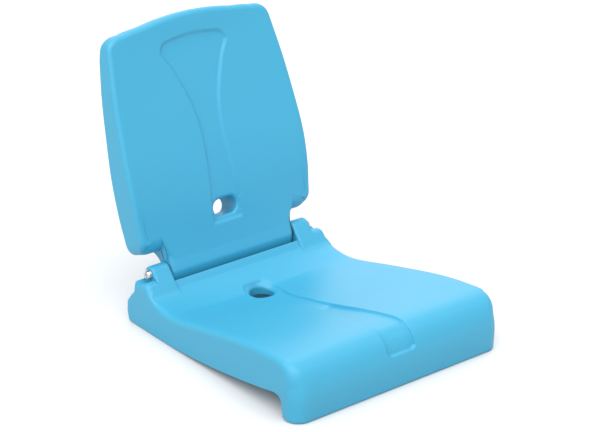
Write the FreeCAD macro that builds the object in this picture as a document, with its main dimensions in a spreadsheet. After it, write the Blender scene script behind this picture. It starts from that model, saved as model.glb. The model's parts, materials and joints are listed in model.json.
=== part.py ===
"""Folding stadium seat with a blow-moulded seat and a hinged back rest.

The frame stands on Z = 0 with +Z up, the front faces -Y and X runs across the seat.
Positions along the seat are given as distances behind its front face, the back rest
is drawn upright about its hinge axis and then leaned back.
"""
import FreeCAD
import Part

import math
import os

Vector = FreeCAD.Vector

SIZES = {
    # overall seat shell
    "front_datum": -294.0,
    "seat_width": 448.0,
    "side_taper": 0.057,
    "front_corner_radius": 30.0,
    "rear_corner_radius": 12.0,
    "side_edge_break": 3.5,
    "shell_wall": 3.5,
    # side line of the seating surface: height at a distance behind the front
    "nose_height": 40.0,
    "roll_back": 12.0,
    "roll_height": 84.0,
    "brow_back": 35.0,
    "crown_back": 68.0,
    "crown_height": 98.0,
    "thigh_back": 145.0,
    "thigh_height": 92.5,
    "slope_back": 245.0,
    "slope_height": 75.5,
    "hollow_back": 352.0,
    "hollow_height": 56.0,
    "ramp_back": 416.0,
    "ramp_height": 67.0,
    "ledge_back": 433.0,
    "ledge_height": 88.0,
    # dish across the seating surface
    "dish_depth": 10.0,
    "dish_width": 372.0,
    # front lip, lower edge and rear wall
    "lip_foot": 4.0,
    "lip_thickness": 44.0,
    "lip_radius": 16.0,
    "notch_height": 33.0,
    "notch_back": 62.0,
    "flat_foot_back": 376.0,
    "rear_wall_back": 496.0,
    "rear_lower_height": 38.0,
    "rear_neck_back": 471.0,
    "rear_neck_height": 62.0,
    "underside_rim": 18.0,
    "underside_recess": 9.0,
    # hinge
    "hinge_back": 454.5,
    "hinge_height": 92.0,
    "recline_angle": 19.7,
    "ear_radius": 14.5,
    "ear_width": 36.2,
    "slot_floor_radius": 37.0,
    "slot_crest_drop": 19.5,
    "head_pocket_radius": 13.0,
    "head_pocket_depth": 11.0,
    "stop_clearance": 0.3,
    # drain opening and channel of the seat
    "drain_back": 364.0,
    "drain_diameter": 42.0,
    "pinch_thickness": 10.0,
    "pinch_flare": 26.0,
    "channel_depth": 2.5,
    "seat_channel_half_width": 30.0,
    "seat_channel_neck": 15.0,
    "seat_channel_end_back": 6.0,
    # fixing points
    "fixing_spacing_across": 220.0,
    "fixing_spacing_along": 220.0,
    "fixing_front_back": 226.0,
    "fixing_boss_diameter": 32.0,
    "insert_diameter": 14.0,
    "insert_length": 18.0,
    "insert_bore": 6.8,
    "fixing_boss_lift": 1.0,
    # back rest, measured upright from the hinge axis
    "tongue_half_width": 134.3,
    "tongue_front": 14.7,
    "tongue_rear": 14.3,
    "tongue_toe": 31.0,
    "back_top": 427.0,
    "back_top_radius": 510.0,
    "back_half_width": 192.3,
    "back_widest_height": 179.0,
    "back_shoulder_half_width": 187.0,
    "back_shoulder_height": 84.0,
    "back_upper_half_width": 175.0,
    "back_upper_height": 381.0,
    "back_bottom_height": 34.0,
    "back_bottom_radius": 34.0,
    "back_top_corner_radius": 24.0,
    "back_face_forward": 36.0,
    "back_lumbar_height": 179.0,
    "back_rear_low": 35.0,
    "back_rear_high": 4.0,
    "back_rear_high_height": 372.0,
    "back_rim_radius": 12.0,
    "back_opening_width": 50.0,
    "back_opening_height": 29.0,
    "back_opening_centre": 75.0,
    "paddle_half_width": 70.0,
    "paddle_neck": 23.0,
    "paddle_top": 384.0,
    "paddle_shoulder": 362.0,
    "paddle_neck_height": 195.0,
    # hinge hardware
    "tube_diameter": 20.0,
    "thread_diameter": 10.0,
    "thread_length": 22.0,
    "shoulder_diameter": 12.0,
    "bolt_head_diameter": 17.5,
    "bolt_head_height": 5.5,
    "bolt_socket": 6.0,
    "bolt_socket_depth": 3.0,
    "washer_diameter": 20.0,
    "washer_thickness": 1.5,
    "bush_diameter": 16.0,
    "bush_flange_diameter": 25.0,
    "bush_flange_thickness": 2.2,
    "fixed_clearance": 0.03,
    "running_clearance": 0.05,
    "side_clearance": 0.3,
    "vent_diameter": 7.0,
}


def make_sheet(document):
    """Writes every driving size into a spreadsheet, one row each."""
    sheet = document.addObject("Spreadsheet::Sheet", "Sizes")
    for row, (name, value) in enumerate(SIZES.items(), start=1):
        sheet.set("A%d" % row, name)
        sheet.set("B%d" % row, repr(value))
        sheet.setAlias("B%d" % row, name)
    document.recompute()
    return sheet


class Reader:
    """Reads sizes from the sheet by name."""

    def __init__(self, sheet):
        self.sheet = sheet

    def __getattr__(self, name):
        return float(self.sheet.get(name))


def line(start, end):
    """A straight edge between two points."""
    return Part.LineSegment(start, end).toShape()


def polyline(points):
    """Straight edges through the given points."""
    return [line(a, b) for a, b in zip(points[:-1], points[1:])]


def tangent_arc(start, end, leaving):
    """An arc that leaves its start in a given direction, or a line where that is straight on."""
    chord = end - start
    ahead = leaving.dot(chord) / chord.Length
    across = leaving - chord * (ahead / chord.Length)
    if across.Length < 1e-4:
        return line(start, end)
    bulge = chord.Length / 2 * math.tan(math.atan2(across.Length, ahead) / 2)
    return arc(start, (start + end) / 2 + across.normalize() * bulge, end)


def two_arcs(start, end, leaving, arriving):
    """Two tangent arcs that join two points in the given directions."""
    chord = end - start
    along = chord.dot(leaving + arriving)
    turn = 2 * (1 - leaving.dot(arriving))
    if turn < 1e-9:
        reach = chord.dot(chord) / (2 * along)
    else:
        reach = (math.sqrt(along ** 2 + turn * chord.dot(chord)) - along) / turn
    corner = start + leaving * reach
    other = end - arriving * reach
    middle = (corner + other) / 2
    onward = (other - corner).normalize()
    return [tangent_arc(start, middle, leaving), tangent_arc(middle, end, onward)]


def mirrored_direction(near, chord):
    """Direction at one end of an arc whose other end has the direction near."""
    return chord * (2 * near.dot(chord) / chord.dot(chord)) - near


def smooth_directions(points):
    """Unit directions of a smooth line at each of its points."""
    steps = [b - a for a, b in zip(points[:-1], points[1:])]
    inner = []
    for before, after in zip(steps[:-1], steps[1:]):
        mean = before / before.dot(before) + after / after.dot(after)
        inner.append(mean.normalize())
    first = mirrored_direction(inner[0], steps[0])
    last = mirrored_direction(inner[-1], steps[-1])
    return [first] + inner + [last]


def smooth_line(points, first=None, last=None):
    """Edges of a smooth line through the given points, made of tangent arcs."""
    directions = smooth_directions(points)
    directions[0] = first or directions[0]
    directions[-1] = last or directions[-1]
    edges = []
    for index in range(len(points) - 1):
        edges += two_arcs(*points[index:index + 2], *directions[index:index + 2])
    return edges


def arc(start, middle, end):
    """A circular edge through three points."""
    return Part.Arc(start, middle, end).toShape()


def face_of(edges):
    """A plane face bounded by the given edges in order."""
    return Part.Face(Part.Wire(edges))


def extrude_across(edges, half_width):
    """Extrudes a side outline both ways across the seat."""
    face = face_of(edges)
    face.translate(Vector(-half_width, 0, 0))
    return face.extrude(Vector(2 * half_width, 0, 0))


def side_point(d, back, height):
    """A point of the seat's side view, by its distance behind the front face."""
    return Vector(0, d.front_datum + back, height)


def seat_half_width(d, back):
    """Half the seat's width at a distance behind the front face."""
    return d.seat_width / 2 - d.side_taper * back


def ear_inner(d):
    """Distance of the ears' inner faces from the middle of the seat."""
    return d.tongue_half_width + d.side_clearance + d.bush_flange_thickness


def ear_outer(d):
    """Distance of the ears' outer faces from the middle of the seat."""
    return ear_inner(d) + d.ear_width


def top_points(d):
    """Points of the seating surface in side view, from the ledge to the nose."""
    pairs = [
        (d.ledge_back, d.ledge_height),
        (d.ramp_back, d.ramp_height),
        (d.hollow_back, d.hollow_height),
        (d.slope_back, d.slope_height),
        (d.thigh_back, d.thigh_height),
        (d.crown_back, d.crown_height),
        (d.brow_back, d.crown_height),
        (d.roll_back, d.roll_height),
        (0.0, d.nose_height),
        (d.lip_foot / 2, d.lip_foot),
    ]
    return [side_point(d, back, height) for back, height in pairs]


def lower_edge(d):
    """Lower edge of the side walls, an arch from the notch to the rear foot."""
    start = side_point(d, d.notch_back, d.notch_height)
    middle = side_point(d, (d.notch_back + d.flat_foot_back) / 2, d.notch_height / 4)
    return arc(start, middle, side_point(d, d.flat_foot_back, 0))


def lip_edges(d):
    """Front lip in side view, from the foot of the nose to the start of the arch."""
    inner = d.lip_radius * (1 - math.sqrt(0.5))
    foot_front = side_point(d, d.lip_foot / 2, d.lip_foot)
    foot = side_point(d, d.lip_foot, 0)
    start = side_point(d, d.lip_thickness - d.lip_radius, 0)
    bend = side_point(d, d.lip_thickness - inner, inner)
    end = side_point(d, d.lip_thickness, d.lip_radius)
    notch_low = side_point(d, d.lip_thickness + 2, d.notch_height - 12)
    notch_bend = side_point(d, d.lip_thickness + 6, d.notch_height - 2.5)
    notch = side_point(d, d.notch_back, d.notch_height)
    edges = [line(foot_front, foot), line(foot, start), arc(start, bend, end)]
    return edges + [line(end, notch_low), arc(notch_low, notch_bend, notch)]


def rear_edges(d):
    """Rear wall in side view, from the foot up to the ledge."""
    pairs = [
        (d.flat_foot_back, 0),
        (d.rear_wall_back - 12, 0),
        (d.rear_wall_back - 2, 9),
        (d.rear_wall_back, 20),
        (d.rear_wall_back - 2, d.rear_lower_height),
        (d.rear_wall_back - 12, d.rear_lower_height + 12),
        (d.rear_neck_back, d.rear_neck_height),
        (d.rear_neck_back - 3, d.ledge_height),
        (d.ledge_back, d.ledge_height),
    ]
    return polyline([side_point(d, back, height) for back, height in pairs])


def seat_side_edges(d):
    """Closed side outline of the seat without its hinge ears."""
    return smooth_line(top_points(d)) + lip_edges(d) + [lower_edge(d)] + rear_edges(d)


def plan_block(d):
    """Upright block with the seat's tapered plan outline."""
    front = d.front_datum - 5
    rear = d.front_datum + d.rear_wall_back + 5
    wide = seat_half_width(d, 0)
    narrow = seat_half_width(d, d.rear_wall_back)
    points = [(-wide, front), (wide, front), (narrow, rear), (-narrow, rear)]
    wire = Part.makePolygon([Vector(x, y, -20) for x, y in points + points[:1]])
    return Part.Face(wire).extrude(Vector(0, 0, 200))


def round_upright(shape, radius, test):
    """Rounds the upright edges that pass the test."""
    edges = []
    for edge in shape.Edges:
        first, last = edge.Vertexes[0].Point, edge.Vertexes[-1].Point
        if abs(first.x - last.x) < 1e-6 and abs(first.y - last.y) < 1e-6 and test(first):
            edges.append(edge)
    return shape.makeFillet(radius, edges)


def ear_side_edges(d):
    """Side outline of one hinge ear, from the seating surface round the hinge axis."""
    centre = side_point(d, d.hinge_back, d.hinge_height)
    radius = d.ear_radius
    slope = math.radians(52)
    foot = side_point(d, d.ramp_back - 1, d.ramp_height - 1.5)
    tangent = centre + Vector(0, -radius * math.sin(slope), radius * math.cos(slope))
    top = centre + Vector(0, 0, radius)
    rear = centre + Vector(0, radius, 0)
    bend = centre + Vector(0, -radius * math.sin(slope / 2), radius * math.cos(slope / 2))
    rear_bend = centre + Vector(0, radius * math.sqrt(0.5), radius * math.sqrt(0.5))
    low_rear = side_point(d, d.rear_neck_back - 2, d.rear_neck_height)
    low_front = side_point(d, d.ramp_back, d.rear_neck_height - 10)
    return [
        line(foot, tangent),
        arc(tangent, bend, top),
        arc(top, rear_bend, rear),
        line(rear, low_rear),
        line(low_rear, low_front),
        line(low_front, foot),
    ]


def leaned(d, forward, up):
    """Seat-frame point given by its place in the upright back rest."""
    angle = math.radians(d.recline_angle)
    centre = side_point(d, d.hinge_back, d.hinge_height)
    along = Vector(0, math.sin(angle), math.cos(angle))
    ahead = Vector(0, -math.cos(angle), math.sin(angle))
    return centre + along * up + ahead * forward


def slot_tool(d):
    """Space between the ears in which the tongue of the back rest turns."""
    front = d.tongue_front + d.stop_clearance
    low = leaned(d, front, -d.tongue_toe - 2)
    crest = leaned(d, front, -d.slot_crest_drop)
    floor = d.hinge_height - d.slot_floor_radius
    bottom = side_point(d, d.hinge_back - 14, floor)
    back = side_point(d, d.rear_wall_back + 8, floor - 2)
    rise = Vector(0, 0, 90)
    over = Vector(0, back.y, crest.z) + rise
    ahead = crest - Vector(0, 40, 0)
    points = [low, bottom, back, over, ahead + rise, ahead, crest, low]
    return extrude_across(polyline(points), ear_inner(d))


def dish_section(d, back, depth, surface):
    """One cross outline of the dish: an arc below and a flat top above the surface."""
    y = d.front_datum + back
    half = d.dish_width / 2
    height = surface
    left = Vector(-half, y, height)
    right = Vector(half, y, height)
    middle = Vector(0, y, height - depth)
    up = Vector(0, 0, 45)
    edges = [
        arc(left, middle, right),
        line(right, right + up),
        line(right + up, left + up),
        line(left + up, left),
    ]
    return Part.Wire(edges)


def surface_height(d, back):
    """Height of the seating surface's side line at a distance behind the front."""
    plane_y = d.front_datum + back
    probe = line(Vector(0, plane_y, d.nose_height), Vector(0, plane_y, 200))
    curve = Part.Wire(smooth_line(top_points(d)))
    return curve.distToShape(probe)[1][0][0].z


def dish_tool(d):
    """Shallow dish that deepens from the front roll to the hollow of the seat."""
    rows = [
        (d.crown_back - 14, 0.6),
        ((d.crown_back + d.slope_back) / 2, d.dish_depth * 0.72),
        (d.slope_back, d.dish_depth),
        (d.hollow_back, d.dish_depth),
        (d.ramp_back - 8, d.dish_depth * 0.35),
    ]
    wires = [dish_section(d, back, depth, surface_height(d, back)) for back, depth in rows]
    return Part.makeLoft(wires, True, False)


def channel_outline(points):
    """Closed plane outline through mirrored points (x, s), smooth along each side."""
    right = [Vector(x, s, 0) for x, s in points]
    left = [Vector(-x, s, 0) for x, s in reversed(points)]
    end, start = line(right[-1], left[0]), line(left[-1], right[0])
    return smooth_line(right) + [end] + smooth_line(left) + [start]


def seat_channel(d):
    """Shallow drain channel from the front roll to the drain opening."""
    start = d.seat_channel_end_back
    middle = (d.crown_back + d.slope_back) / 2
    points = [
        (d.seat_channel_half_width, start),
        (d.seat_channel_half_width * 0.93, d.crown_back * 0.6),
        (d.seat_channel_neck * 1.15, middle),
        (d.seat_channel_neck, d.slope_back),
        (d.seat_channel_neck * 1.7, d.drain_back - 14),
    ]
    edges = channel_outline(points)
    face = face_of(edges)
    face.translate(Vector(0, d.front_datum, -20))
    column = face.extrude(Vector(0, 0, 150))
    return column


def fixing_points(d):
    """Centres of the four fixing points, as distances behind the front face."""
    half = d.fixing_spacing_across / 2
    rows = (d.fixing_front_back, d.fixing_front_back + d.fixing_spacing_along)
    return [(x, back) for x in (-half, half) for back in rows]


def seat_pinch(d, margin=0.0):
    """Recess in the underside that leads to the pinched walls at the drain opening."""
    top = surface_height(d, d.drain_back) - d.dish_depth - d.pinch_thickness + margin
    centre = Vector(0, d.front_datum + d.drain_back, -5)
    wide = d.drain_diameter / 2 + d.pinch_flare + margin
    narrow = d.drain_diameter / 2 + 6 + margin
    return Part.makeCone(wide, narrow, top - centre.z, centre)


def cut_drain(d, body):
    """Cuts the drain opening, its flared rim and the recess below it."""
    y = d.front_datum + d.drain_back
    radius = d.drain_diameter / 2
    height = surface_height(d, d.drain_back) - d.dish_depth
    body = body.cut(seat_pinch(d))
    body = body.cut(Part.makeCylinder(radius, 200, Vector(0, y, -50)))
    flare = Part.makeCone(radius - 1, radius + 9, 10, Vector(0, y, height - 4.5))
    return body.cut(flare)


def underside_pan(d):
    """Shallow recess of the underside inside its resting rim."""
    rim = d.underside_rim
    lift = d.underside_recess
    front = d.notch_back + rim
    start = side_point(d, front, d.notch_height + lift - 8)
    middle = (front + d.flat_foot_back) / 2
    bend = side_point(d, middle, d.notch_height * 0.25 + lift)
    end = side_point(d, d.flat_foot_back, lift)
    rear = side_point(d, d.rear_wall_back - rim - 10, lift)
    rear_low = side_point(d, d.rear_wall_back - rim - 10, -10)
    front_low = side_point(d, front, -10)
    edges = [arc(start, bend, end), line(end, rear), line(rear, rear_low)]
    edges += [line(rear_low, front_low), line(front_low, start)]
    half = seat_half_width(d, d.rear_wall_back) - rim
    return extrude_across(edges, half)


def fixing_bosses(d):
    """Bosses of the underside that hold the threaded inserts."""
    lift = d.fixing_boss_lift
    radius = d.fixing_boss_diameter / 2
    bosses = []
    for x, back in fixing_points(d):
        base = Vector(x, d.front_datum + back, lift)
        bosses.append(Part.makeCylinder(radius, d.insert_length + 6, base))
    return bosses


def fixing_bores(d):
    """Blind bores of the bosses, each a clear fit on its insert."""
    radius = d.insert_diameter / 2 + d.fixed_clearance
    bores = []
    for x, back in fixing_points(d):
        base = Vector(x, d.front_datum + back, d.fixing_boss_lift - 1)
        bores.append(Part.makeCylinder(radius, d.insert_length + 1.5, base))
    return bores


def seat_surface_layer(d):
    """Layer of the seating side, as deep as the channel, following dish and roll."""
    upper = extrude_across(seat_side_edges(d), d.seat_width).cut(dish_tool(d))
    lower = upper.copy()
    shift = d.channel_depth
    lower.translate(Vector(0, shift * 0.6, -shift))
    return upper.cut(lower)


def cut_seat_channel(d, body):
    """Cuts the drain channel into the seating surface."""
    return body.cut(seat_surface_layer(d).common(seat_channel(d)))


def ears(d):
    """The two hinge ears, each one solid."""
    face = face_of(ear_side_edges(d))
    width = ear_outer(d) - ear_inner(d)
    pieces = []
    for side in (-1, 1):
        piece = face.copy()
        piece.translate(Vector(side * ear_inner(d), 0, 0))
        pieces.append(piece.extrude(Vector(side * width, 0, 0)))
    return pieces


def hinge_cylinder(d, radius, start, end):
    """Cylinder about the hinge axis between two places across the seat."""
    centre = side_point(d, d.hinge_back, d.hinge_height)
    base = Vector(start, centre.y, centre.z)
    return Part.makeCylinder(radius, end - start, base, Vector(1, 0, 0))


def seat_cavity_points(d):
    """Side outline of the space inside the seat, a wall's thickness inside its skin."""
    wall = d.shell_wall
    under = d.underside_recess + wall
    skin = d.dish_depth + wall
    middle = (d.notch_back + d.underside_rim + d.flat_foot_back) / 2
    shelf = d.hinge_height - d.slot_floor_radius - wall - 1
    pairs = [
        (d.lip_foot + wall, wall),
        (d.lip_thickness - wall - 8, wall),
        (d.lip_thickness - wall, d.lip_radius),
        (d.lip_thickness + 2, d.notch_height + wall),
        (d.notch_back + d.underside_rim, d.notch_height + wall + 2),
        (middle, d.notch_height / 4 + under),
        (d.flat_foot_back, under),
        (d.rear_wall_back - 8 - wall, under),
        (d.rear_wall_back - 6 - wall, d.rear_lower_height),
        (d.rear_neck_back - wall, shelf),
        (d.ramp_back - 2, shelf - 1),
        (d.hollow_back, d.hollow_height - skin),
        (d.slope_back, d.slope_height - skin),
        (d.thigh_back, d.thigh_height - skin),
        (d.crown_back, d.crown_height - wall - 3),
        (d.brow_back, d.crown_height - wall - 3),
        (d.roll_back + wall + 3, d.roll_height - wall - 3),
        (wall + 1, d.nose_height),
    ]
    return [side_point(d, back, height) for back, height in pairs]


def seat_cavity(d):
    """Sealed space between the two walls of the seat."""
    wall = d.shell_wall
    points = seat_cavity_points(d)
    space = extrude_across(polyline(points + points[:1]), d.seat_width)
    plan = plan_block(d)
    for side in (-1, 1):
        copy = plan.copy()
        copy.translate(Vector(side * (wall + 2), 0, 0))
        space = space.common(copy)
    space = space.cut(seat_pinch(d, wall))
    y = d.front_datum + d.drain_back
    radius = d.drain_diameter / 2 + wall + 8
    space = space.cut(Part.makeCylinder(radius, 200, Vector(0, y, -50)))
    return space.cut(fixing_bosses(d))


def vent(d, x, y):
    """Blow-pin hole from below into the space between the walls."""
    return Part.makeCylinder(d.vent_diameter / 2, 20, Vector(x, y, 2))


def build_seat_shell(d):
    """Blow-moulded seat: two walls, front lip, hinge ears, dish and drain channel."""
    body = extrude_across(seat_side_edges(d), d.seat_width)
    plan = plan_block(d)
    front = d.front_datum + 1
    plan = round_upright(plan, d.front_corner_radius, lambda p: p.y < front)
    plan = round_upright(plan, d.rear_corner_radius, lambda p: p.y > front)
    body = body.common(plan).removeSplitter()
    body = break_side_edges(d, body)
    body = body.cut(dish_tool(d))
    body = cut_seat_channel(d, body)
    body = body.cut(slot_tool(d))
    body = body.fuse(ears(d))
    body = body.cut(underside_pan(d))
    body = body.fuse(fixing_bosses(d))
    body = cut_drain(d, body)
    body = body.cut(seat_cavity(d))
    body = body.cut(vent(d, 0, d.front_datum + d.fixing_front_back))
    for bore in fixing_bores(d):
        body = body.cut(bore)
    bush = d.bush_diameter / 2 + d.fixed_clearance
    for side in (-1, 1):
        start, end = sorted((side * (ear_inner(d) - 5), side * (ear_outer(d) + 5)))
        body = body.cut(hinge_cylinder(d, bush, start, end))
        start, end = sorted((side * ear_outer(d), side * (ear_outer(d) + d.head_pocket_depth)))
        body = body.cut(hinge_cylinder(d, d.head_pocket_radius, start, end))
    return body.removeSplitter()


def break_side_edges(d, body):
    """Breaks the edges between the seating surface and the side walls."""
    surface = Part.Wire(smooth_line(top_points(d)))
    chosen = []
    for edge in body.Edges:
        box = edge.BoundBox
        middle = edge.valueAt((edge.FirstParameter + edge.LastParameter) / 2)
        on_one_side = box.XMin > ear_outer(d) + 5 or box.XMax < -ear_outer(d) - 5
        probe = Part.Vertex(Vector(0, middle.y, middle.z))
        if on_one_side and surface.distToShape(probe)[0] < 0.05:
            chosen.append(edge)
    return body.makeChamfer(d.side_edge_break, chosen)


def upright(x, y, z):
    """A point of the upright back rest, measured from the hinge axis."""
    return Vector(x, y, z)


def back_front_edges(d, depth=0.0):
    """Front line of the back rest in side view, moved to the rear by a depth."""
    low = upright(0, depth - d.tongue_front, 12)
    lumbar = upright(0, depth - d.back_face_forward, d.back_lumbar_height)
    top = upright(0, lumbar.y, d.back_top + 4)
    up = Vector(0, 0, 1)
    return two_arcs(low, lumbar, up, up) + [line(lumbar, top)]


def front_at(d, height):
    """How far forward of the hinge axis the front face lies at a height."""
    probe = line(upright(0, -200, height), upright(0, 200, height))
    curve = Part.Wire(back_front_edges(d))
    return curve.distToShape(probe)[1][0][0].y


def back_side_edges(d):
    """Closed side outline of the broad part of the back rest."""
    front = back_front_edges(d)
    low = upright(0, -d.tongue_front, 12)
    front_top = upright(0, -d.back_face_forward, d.back_top + 4)
    rear = [
        front_top,
        upright(0, -12, d.back_top + 4),
        upright(0, d.back_rear_high, d.back_rear_high_height),
        upright(0, d.back_rear_low, d.back_bottom_height + 8),
        upright(0, d.back_rear_low - 8, d.back_bottom_height),
        upright(0, d.tongue_rear - 2, d.back_bottom_height),
        upright(0, d.tongue_rear - 2, 12),
        low,
    ]
    return front + polyline(rear)


def tongue_edges(d):
    """Side outline of the tongue that carries the hinge."""
    toe = -d.tongue_toe
    front, rear = -d.tongue_front, d.tongue_rear
    radius = 9
    side = radius * (1 - math.sqrt(0.5))
    low_rear = upright(0, rear, toe + radius)
    bend = upright(0, rear - side, toe + side)
    toe_rear = upright(0, rear - radius, toe)
    toe_front = upright(0, front + 3, toe)
    low_front = upright(0, front, toe + 3)
    high_front = upright(0, front, 14)
    high_rear = upright(0, rear, 44)
    inner = upright(0, 0, 60)
    edges = [line(low_front, high_front), line(high_front, inner), line(inner, high_rear)]
    edges += [line(high_rear, low_rear), arc(low_rear, bend, toe_rear)]
    return edges + [line(toe_rear, toe_front), line(toe_front, low_front)]


def back_outline(d):
    """Front outline of the broad part of the back rest, symmetric about its middle."""
    bottom = d.back_bottom_height
    radius = d.back_bottom_radius
    low = d.back_shoulder_half_width - radius
    high = d.back_upper_half_width
    corner = d.back_top_corner_radius
    drop = (high - corner) ** 2 / (2 * d.back_top_radius)
    right = [
        upright(low, 0, bottom),
        upright(low + radius * 0.72, 0, bottom + radius * 0.47),
        upright(d.back_shoulder_half_width, 0, d.back_shoulder_height),
        upright(d.back_half_width, 0, d.back_widest_height),
        upright(high, 0, d.back_upper_height),
        upright(high - corner * 0.3, 0, d.back_top - drop - corner * 0.26),
        upright(high - corner, 0, d.back_top - drop),
        upright(0, 0, d.back_top),
    ]
    left = [Vector(-point.x, 0, point.z) for point in reversed(right)]
    across = Vector(1, 0, 0)
    edges = smooth_line(right, across, -across) + smooth_line(left, -across, across)
    return edges + [line(left[-1], right[0])]


def outline_block(d):
    """Block with the front outline of the back rest, through its whole thickness."""
    face = face_of(back_outline(d))
    face.translate(Vector(0, -80, 0))
    return face.extrude(Vector(0, 160, 0))


def paddle_column(d):
    """Column with the outline of the paddle-shaped recess."""
    neck = d.paddle_neck_height
    points = [
        (d.paddle_neck * 1.30, d.back_opening_centre),
        (d.paddle_neck * 1.12, (d.back_opening_centre + neck) / 2),
        (d.paddle_neck, neck),
        (d.paddle_neck * 1.45, neck + 85),
        (d.paddle_half_width * 0.70, d.paddle_shoulder - 32),
        (d.paddle_half_width, d.paddle_shoulder),
    ]
    right = [upright(x, -80, z) for x, z in points]
    left = [upright(-x, -80, z) for x, z in reversed(points)]
    corner = upright(d.paddle_half_width - 8, -80, d.paddle_shoulder + 10)
    other = upright(-corner.x, -80, corner.z)
    edges = smooth_line(right) + [line(right[-1], corner)]
    edges += [arc(corner, upright(0, -80, d.paddle_top), other), line(other, left[0])]
    edges += smooth_line(left) + [line(left[-1], right[0])]
    return face_of(edges).extrude(Vector(0, 120, 0))


def front_layer(d, depth):
    """Layer of the back rest directly behind its front face."""
    low = upright(0, -d.tongue_front, 12)
    high = upright(0, -d.back_face_forward, d.back_top + 4)
    step = Vector(0, depth, 0)
    front = Part.Wire(back_front_edges(d) + [line(high, high + step)])
    rear = Part.Wire(back_front_edges(d, depth) + [line(low, low + step)])
    outline = Part.Face(Part.Wire(front.Edges + rear.Edges[::-1]))
    outline.translate(Vector(-d.back_half_width, 0, 0))
    return outline.extrude(Vector(2 * d.back_half_width, 0, 0))


def oval(width, height, y, z):
    """Upright oval outline with round ends, as a wire."""
    half = (width - height) / 2
    radius = height / 2
    right, left = upright(half, y, z), upright(-half, y, z)
    high, low = Vector(0, 0, radius), Vector(0, 0, -radius)
    edges = [
        line(left + low, right + low),
        arc(right + low, right + Vector(radius, 0, 0), right + high),
        line(right + high, left + high),
        arc(left + high, left - Vector(radius, 0, 0), left + low),
    ]
    return Part.Wire(edges)


def back_opening(d):
    """Opening of the back rest with its flared rim and the recess behind it."""
    z = d.back_opening_centre
    width, height = d.back_opening_width, d.back_opening_height
    face = front_at(d, z)
    hole = Part.Face(oval(width, height, face - 20, z)).extrude(Vector(0, 150, 0))
    wide = oval(width + 18, height + 18, face - 3, z)
    rim = Part.makeLoft([wide, oval(width, height, face + 7, z)], True, True)
    return hole, rim, back_pinch(d, 0.0)


def back_pinch(d, margin):
    """Recess of the rear wall that leads to the pinched walls round the opening."""
    z = d.back_opening_centre
    near = front_at(d, z) + d.pinch_thickness - margin
    width = d.back_opening_width + 2 * (d.pinch_flare + margin)
    height = d.back_opening_height + 2 * (d.pinch_flare * 0.7 + margin)
    return Part.Face(oval(width, height, near, z + 4)).extrude(Vector(0, 120, 0))


def back_edges_to_round(body, d, face_side):
    """Edges of the broad part that lie on its front or its rear outline."""
    chosen = []
    for edge in body.Edges:
        box = edge.BoundBox
        middle = edge.valueAt((edge.FirstParameter + edge.LastParameter) / 2)
        if box.XLength < 1e-6 or box.ZLength < 1e-6:
            continue
        on_front = middle.y < -d.tongue_front - 4
        if on_front == face_side and middle.z > d.back_bottom_height + 12:
            chosen.append(edge)
    return chosen


def back_cavity_side(d):
    """Side outline of the space inside the back rest."""
    wall = d.shell_wall
    skin = wall + d.channel_depth
    low = d.back_bottom_height + wall
    top = d.back_top - wall - 2
    rise = d.back_lumbar_height
    heights = (low, rise * 0.35, rise * 0.6, rise * 0.8, rise, top)
    points = [upright(0, front_at(d, height) + skin, height) for height in heights]
    points += [upright(0, -12 - wall, top)]
    points += [upright(0, d.back_rear_high - wall, d.back_rear_high_height)]
    points += [upright(0, d.back_rear_low - wall - 1, low + 8)]
    points += [upright(0, d.back_rear_low - wall - 8, low)]
    return polyline(points + points[:1])


def back_cavity_front(d):
    """Front outline of the space inside the back rest."""
    inset = d.shell_wall + 2
    top = d.back_top - inset
    corner_x = d.back_upper_half_width - d.back_top_corner_radius
    drop = corner_x ** 2 / (2 * d.back_top_radius)
    right = [
        (d.back_shoulder_half_width - d.back_bottom_radius, d.back_bottom_height),
        (d.back_shoulder_half_width - inset - 5, d.back_bottom_height + 26),
        (d.back_shoulder_half_width - inset, d.back_shoulder_height),
        (d.back_half_width - inset, d.back_widest_height),
        (d.back_upper_half_width - inset, d.back_upper_height),
        (corner_x - 2, top - drop - 2),
        (corner_x / 2, top - drop / 4 - 2),
    ]
    points = [upright(x, -80, z) for x, z in right]
    points += [upright(-x, -80, z) for x, z in reversed(right)]
    return polyline(points + points[:1])


def back_cavity(d):
    """Sealed space between the two walls of the back rest."""
    wall = d.shell_wall
    space = extrude_across(back_cavity_side(d), d.back_half_width)
    space = space.common(face_of(back_cavity_front(d)).extrude(Vector(0, 160, 0)))
    space = space.cut(back_pinch(d, wall))
    width = d.back_opening_width + 2 * wall + 16
    height = d.back_opening_height + 2 * wall + 16
    tunnel = Part.Face(oval(width, height, -90, d.back_opening_centre))
    return space.cut(tunnel.extrude(Vector(0, 200, 0)))


def build_back_shell(d):
    """Blow-moulded back rest: broad panel, tongue, opening and paddle recess."""
    body = extrude_across(back_side_edges(d), d.back_half_width + 10)
    body = body.common(outline_block(d)).removeSplitter()
    body = body.makeFillet(d.back_rim_radius, back_edges_to_round(body, d, True))
    body = body.fuse(extrude_across(tongue_edges(d), d.tongue_half_width))
    body = body.cut(front_layer(d, d.channel_depth).common(paddle_column(d)))
    for tool in back_opening(d):
        body = body.cut(tool)
    body = body.cut(back_cavity(d))
    height = d.back_upper_height - 40
    hole = Part.makeCylinder(d.vent_diameter / 2, 40, Vector(0, 0, height), Vector(0, 1, 0))
    body = body.cut(hole)
    tube = d.tube_diameter / 2 + d.fixed_clearance
    bore = Part.makeCylinder(tube, 500, Vector(-250, 0, 0), Vector(1, 0, 0))
    return body.cut(bore).removeSplitter()


def bound(document, kind, name, **expressions):
    """A primitive whose sizes are expressions on the sheet."""
    item = document.addObject("Part::" + kind, name)
    for key, text in expressions.items():
        item.setExpression(key.replace("_", "."), text)
    return item


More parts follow.
